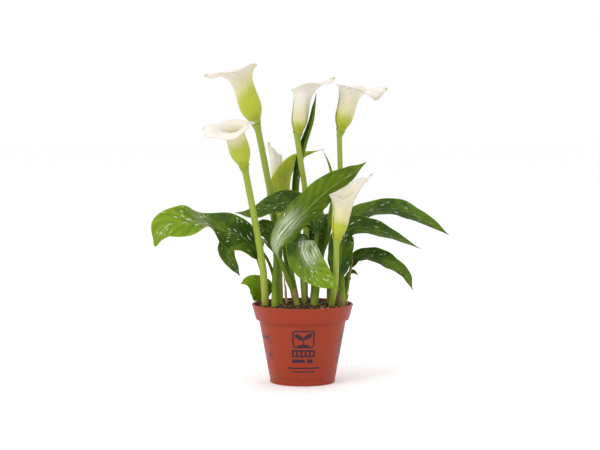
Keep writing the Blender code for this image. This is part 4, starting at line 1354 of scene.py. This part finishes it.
class CALLA_OT_sheaths(bpy.types.Operator):
    """Wrap papery brown sheaths around the feet of the shoots"""

    bl_idname = "calla.sheaths"
    bl_label = "Sheaths"

    def execute(self, context):
        draw = random.Random(context.scene.calla_soil.seed)
        bm = bmesh.new()
        layers = [bm.verts.layers.float.new(name) for name in ("across", "run")]
        shoots = [(item.crown, item.foot, item.spine, item.stem[0]) for item in FLOWERS]
        shoots += [(item.crown, item.foot, item.spine, item.stalk) for item in LEAVES]
        for crown, foot, spine, thick in shoots:
            if draw.random() < 0.55:
                continue
            path = shoot_path(crown, foot, spine)
            length = path_length(path)
            start = (CROWN_DEPTH - 0.001) / length
            rise = draw.uniform(0.010, 0.034) / length
            facing, spread = draw.uniform(0, math.tau), draw.uniform(1.2, 2.2)
            grid = {"x_segments": SHEATH_CELLS, "y_segments": SHEATH_CELLS, "size": 1}
            made = bmesh.ops.create_grid(bm, **grid)["verts"]
            shares = steps(SHEATH_CELLS)
            found = stations(path, [start + rise * share for share in shares])
            for vert in made:
                across, row = vert.co.x, round((vert.co.y + 1) / 2 * SHEATH_CELLS)
                share = shares[row]
                place, direction = found[row]
                side, other = cross_ways(direction)
                turn = facing + across * spread * mix(1, 0.15, share * share)
                curl = noise.noise(Vector((across * 2, share * 3, facing)))
                loose = 0.25 + 1.1 * share * share + 0.3 * curl
                reach = thick * MM + loose * MM
                vert.co = place + (side * math.cos(turn) + other * math.sin(turn)) * reach
                vert[layers[0]] = across + facing
                vert[layers[1]] = share * rise * length
        material = dry_material(context.scene.calla_leaves)
        add_wall(add_piece("papery_sheaths", bm, material, [], 70), SHEATH_WALL)
        return {"FINISHED"}


class CALLA_OT_stage(bpy.types.Operator):
    """Set the pale floor, the soft lights and the camera"""

    bl_idname = "calla.stage"
    bl_label = "Stage"

    def execute(self, context):
        stage = context.scene.calla_stage
        bm = bmesh.new()
        bmesh.ops.create_grid(bm, x_segments=1, y_segments=1, size=FLOOR_REACH)
        floor = add_mesh("studio_floor", bm)
        floor.data.materials.append(plain_floor_material(stage))

        for name, place, size, power in (
                ("key_light", (-1.3, -1.5, 1.7), 1.1, stage.key_power),
                ("fill_light", (1.6, -1.3, 0.9), 1.4, stage.key_power * 0.1),
                ("back_light", (0.4, 1.5, 1.3), 1.0, stage.key_power * 0.25)):
            light = bpy.data.lights.new(name, "AREA")
            light.size = size
            light.energy = power
            lamp = add_object(name, light)
            lamp.location = place
            lamp.rotation_euler = (LIGHT_AIM - Vector(place)).to_track_quat("-Z", "Y").to_euler()

        world = bpy.data.worlds.new("studio")
        world.use_nodes = True
        background = world.node_tree.nodes["Background"]
        background.inputs["Color"].default_value = (1, 1, 1, 1)
        background.inputs["Strength"].default_value = stage.sky
        context.scene.world = world
        context.scene.view_settings.view_transform = "Standard"

        lens = bpy.data.cameras.new("camera")
        lens.lens = CAMERA_LENS_MM
        lens.sensor_width = 36
        lens.sensor_fit = "HORIZONTAL"
        camera = add_object("camera", lens)
        camera.location = CAMERA_PLACE
        aim = CAMERA_AIM - CAMERA_PLACE
        camera.rotation_euler = aim.to_track_quat("-Z", "Y").to_euler()
        context.scene.camera = camera
        return {"FINISHED"}


class CALLA_PT_panel(bpy.types.Panel):
    """The calla lily's pieces"""

    bl_idname = "CALLA_PT_panel"
    bl_label = "Potted Calla Lily"
    bl_space_type = "VIEW_3D"
    bl_region_type = "UI"
    bl_category = "Calla Lily"

    def draw(self, context):
        layout = self.layout
        for operator in OPERATORS:
            layout.operator(operator.bl_idname)
        for name, group in SETTINGS.items():
            box = layout.box()
            settings = getattr(context.scene, name)
            for key in group.__annotations__:
                box.prop(settings, key)


OPERATORS = (CALLA_OT_stage, CALLA_OT_pot, CALLA_OT_soil, CALLA_OT_tubers, CALLA_OT_stems, CALLA_OT_spathes,
             CALLA_OT_spadices, CALLA_OT_leaves, CALLA_OT_dry_strips, CALLA_OT_sheaths)
SETTINGS = {
    "calla_pot": CallaPotSettings,
    "calla_soil": CallaSoilSettings,
    "calla_flowers": CallaFlowerSettings,
    "calla_leaves": CallaLeafSettings,
    "calla_stage": CallaStageSettings,
}


def register():
    for group in (*SETTINGS.values(), *OPERATORS, CALLA_PT_panel):
        bpy.utils.register_class(group)
    for name, group in SETTINGS.items():
        setattr(bpy.types.Scene, name, bpy.props.PointerProperty(type=group))


def unregister():
    for name in SETTINGS:
        delattr(bpy.types.Scene, name)
    for group in reversed((*SETTINGS.values(), *OPERATORS, CALLA_PT_panel)):
        bpy.utils.unregister_class(group)


def main():
    register()
    for operator in OPERATORS:
        part, action = operator.bl_idname.split(".")
        getattr(getattr(bpy.ops, part), action)()


if __name__ == "__main__":
    main()
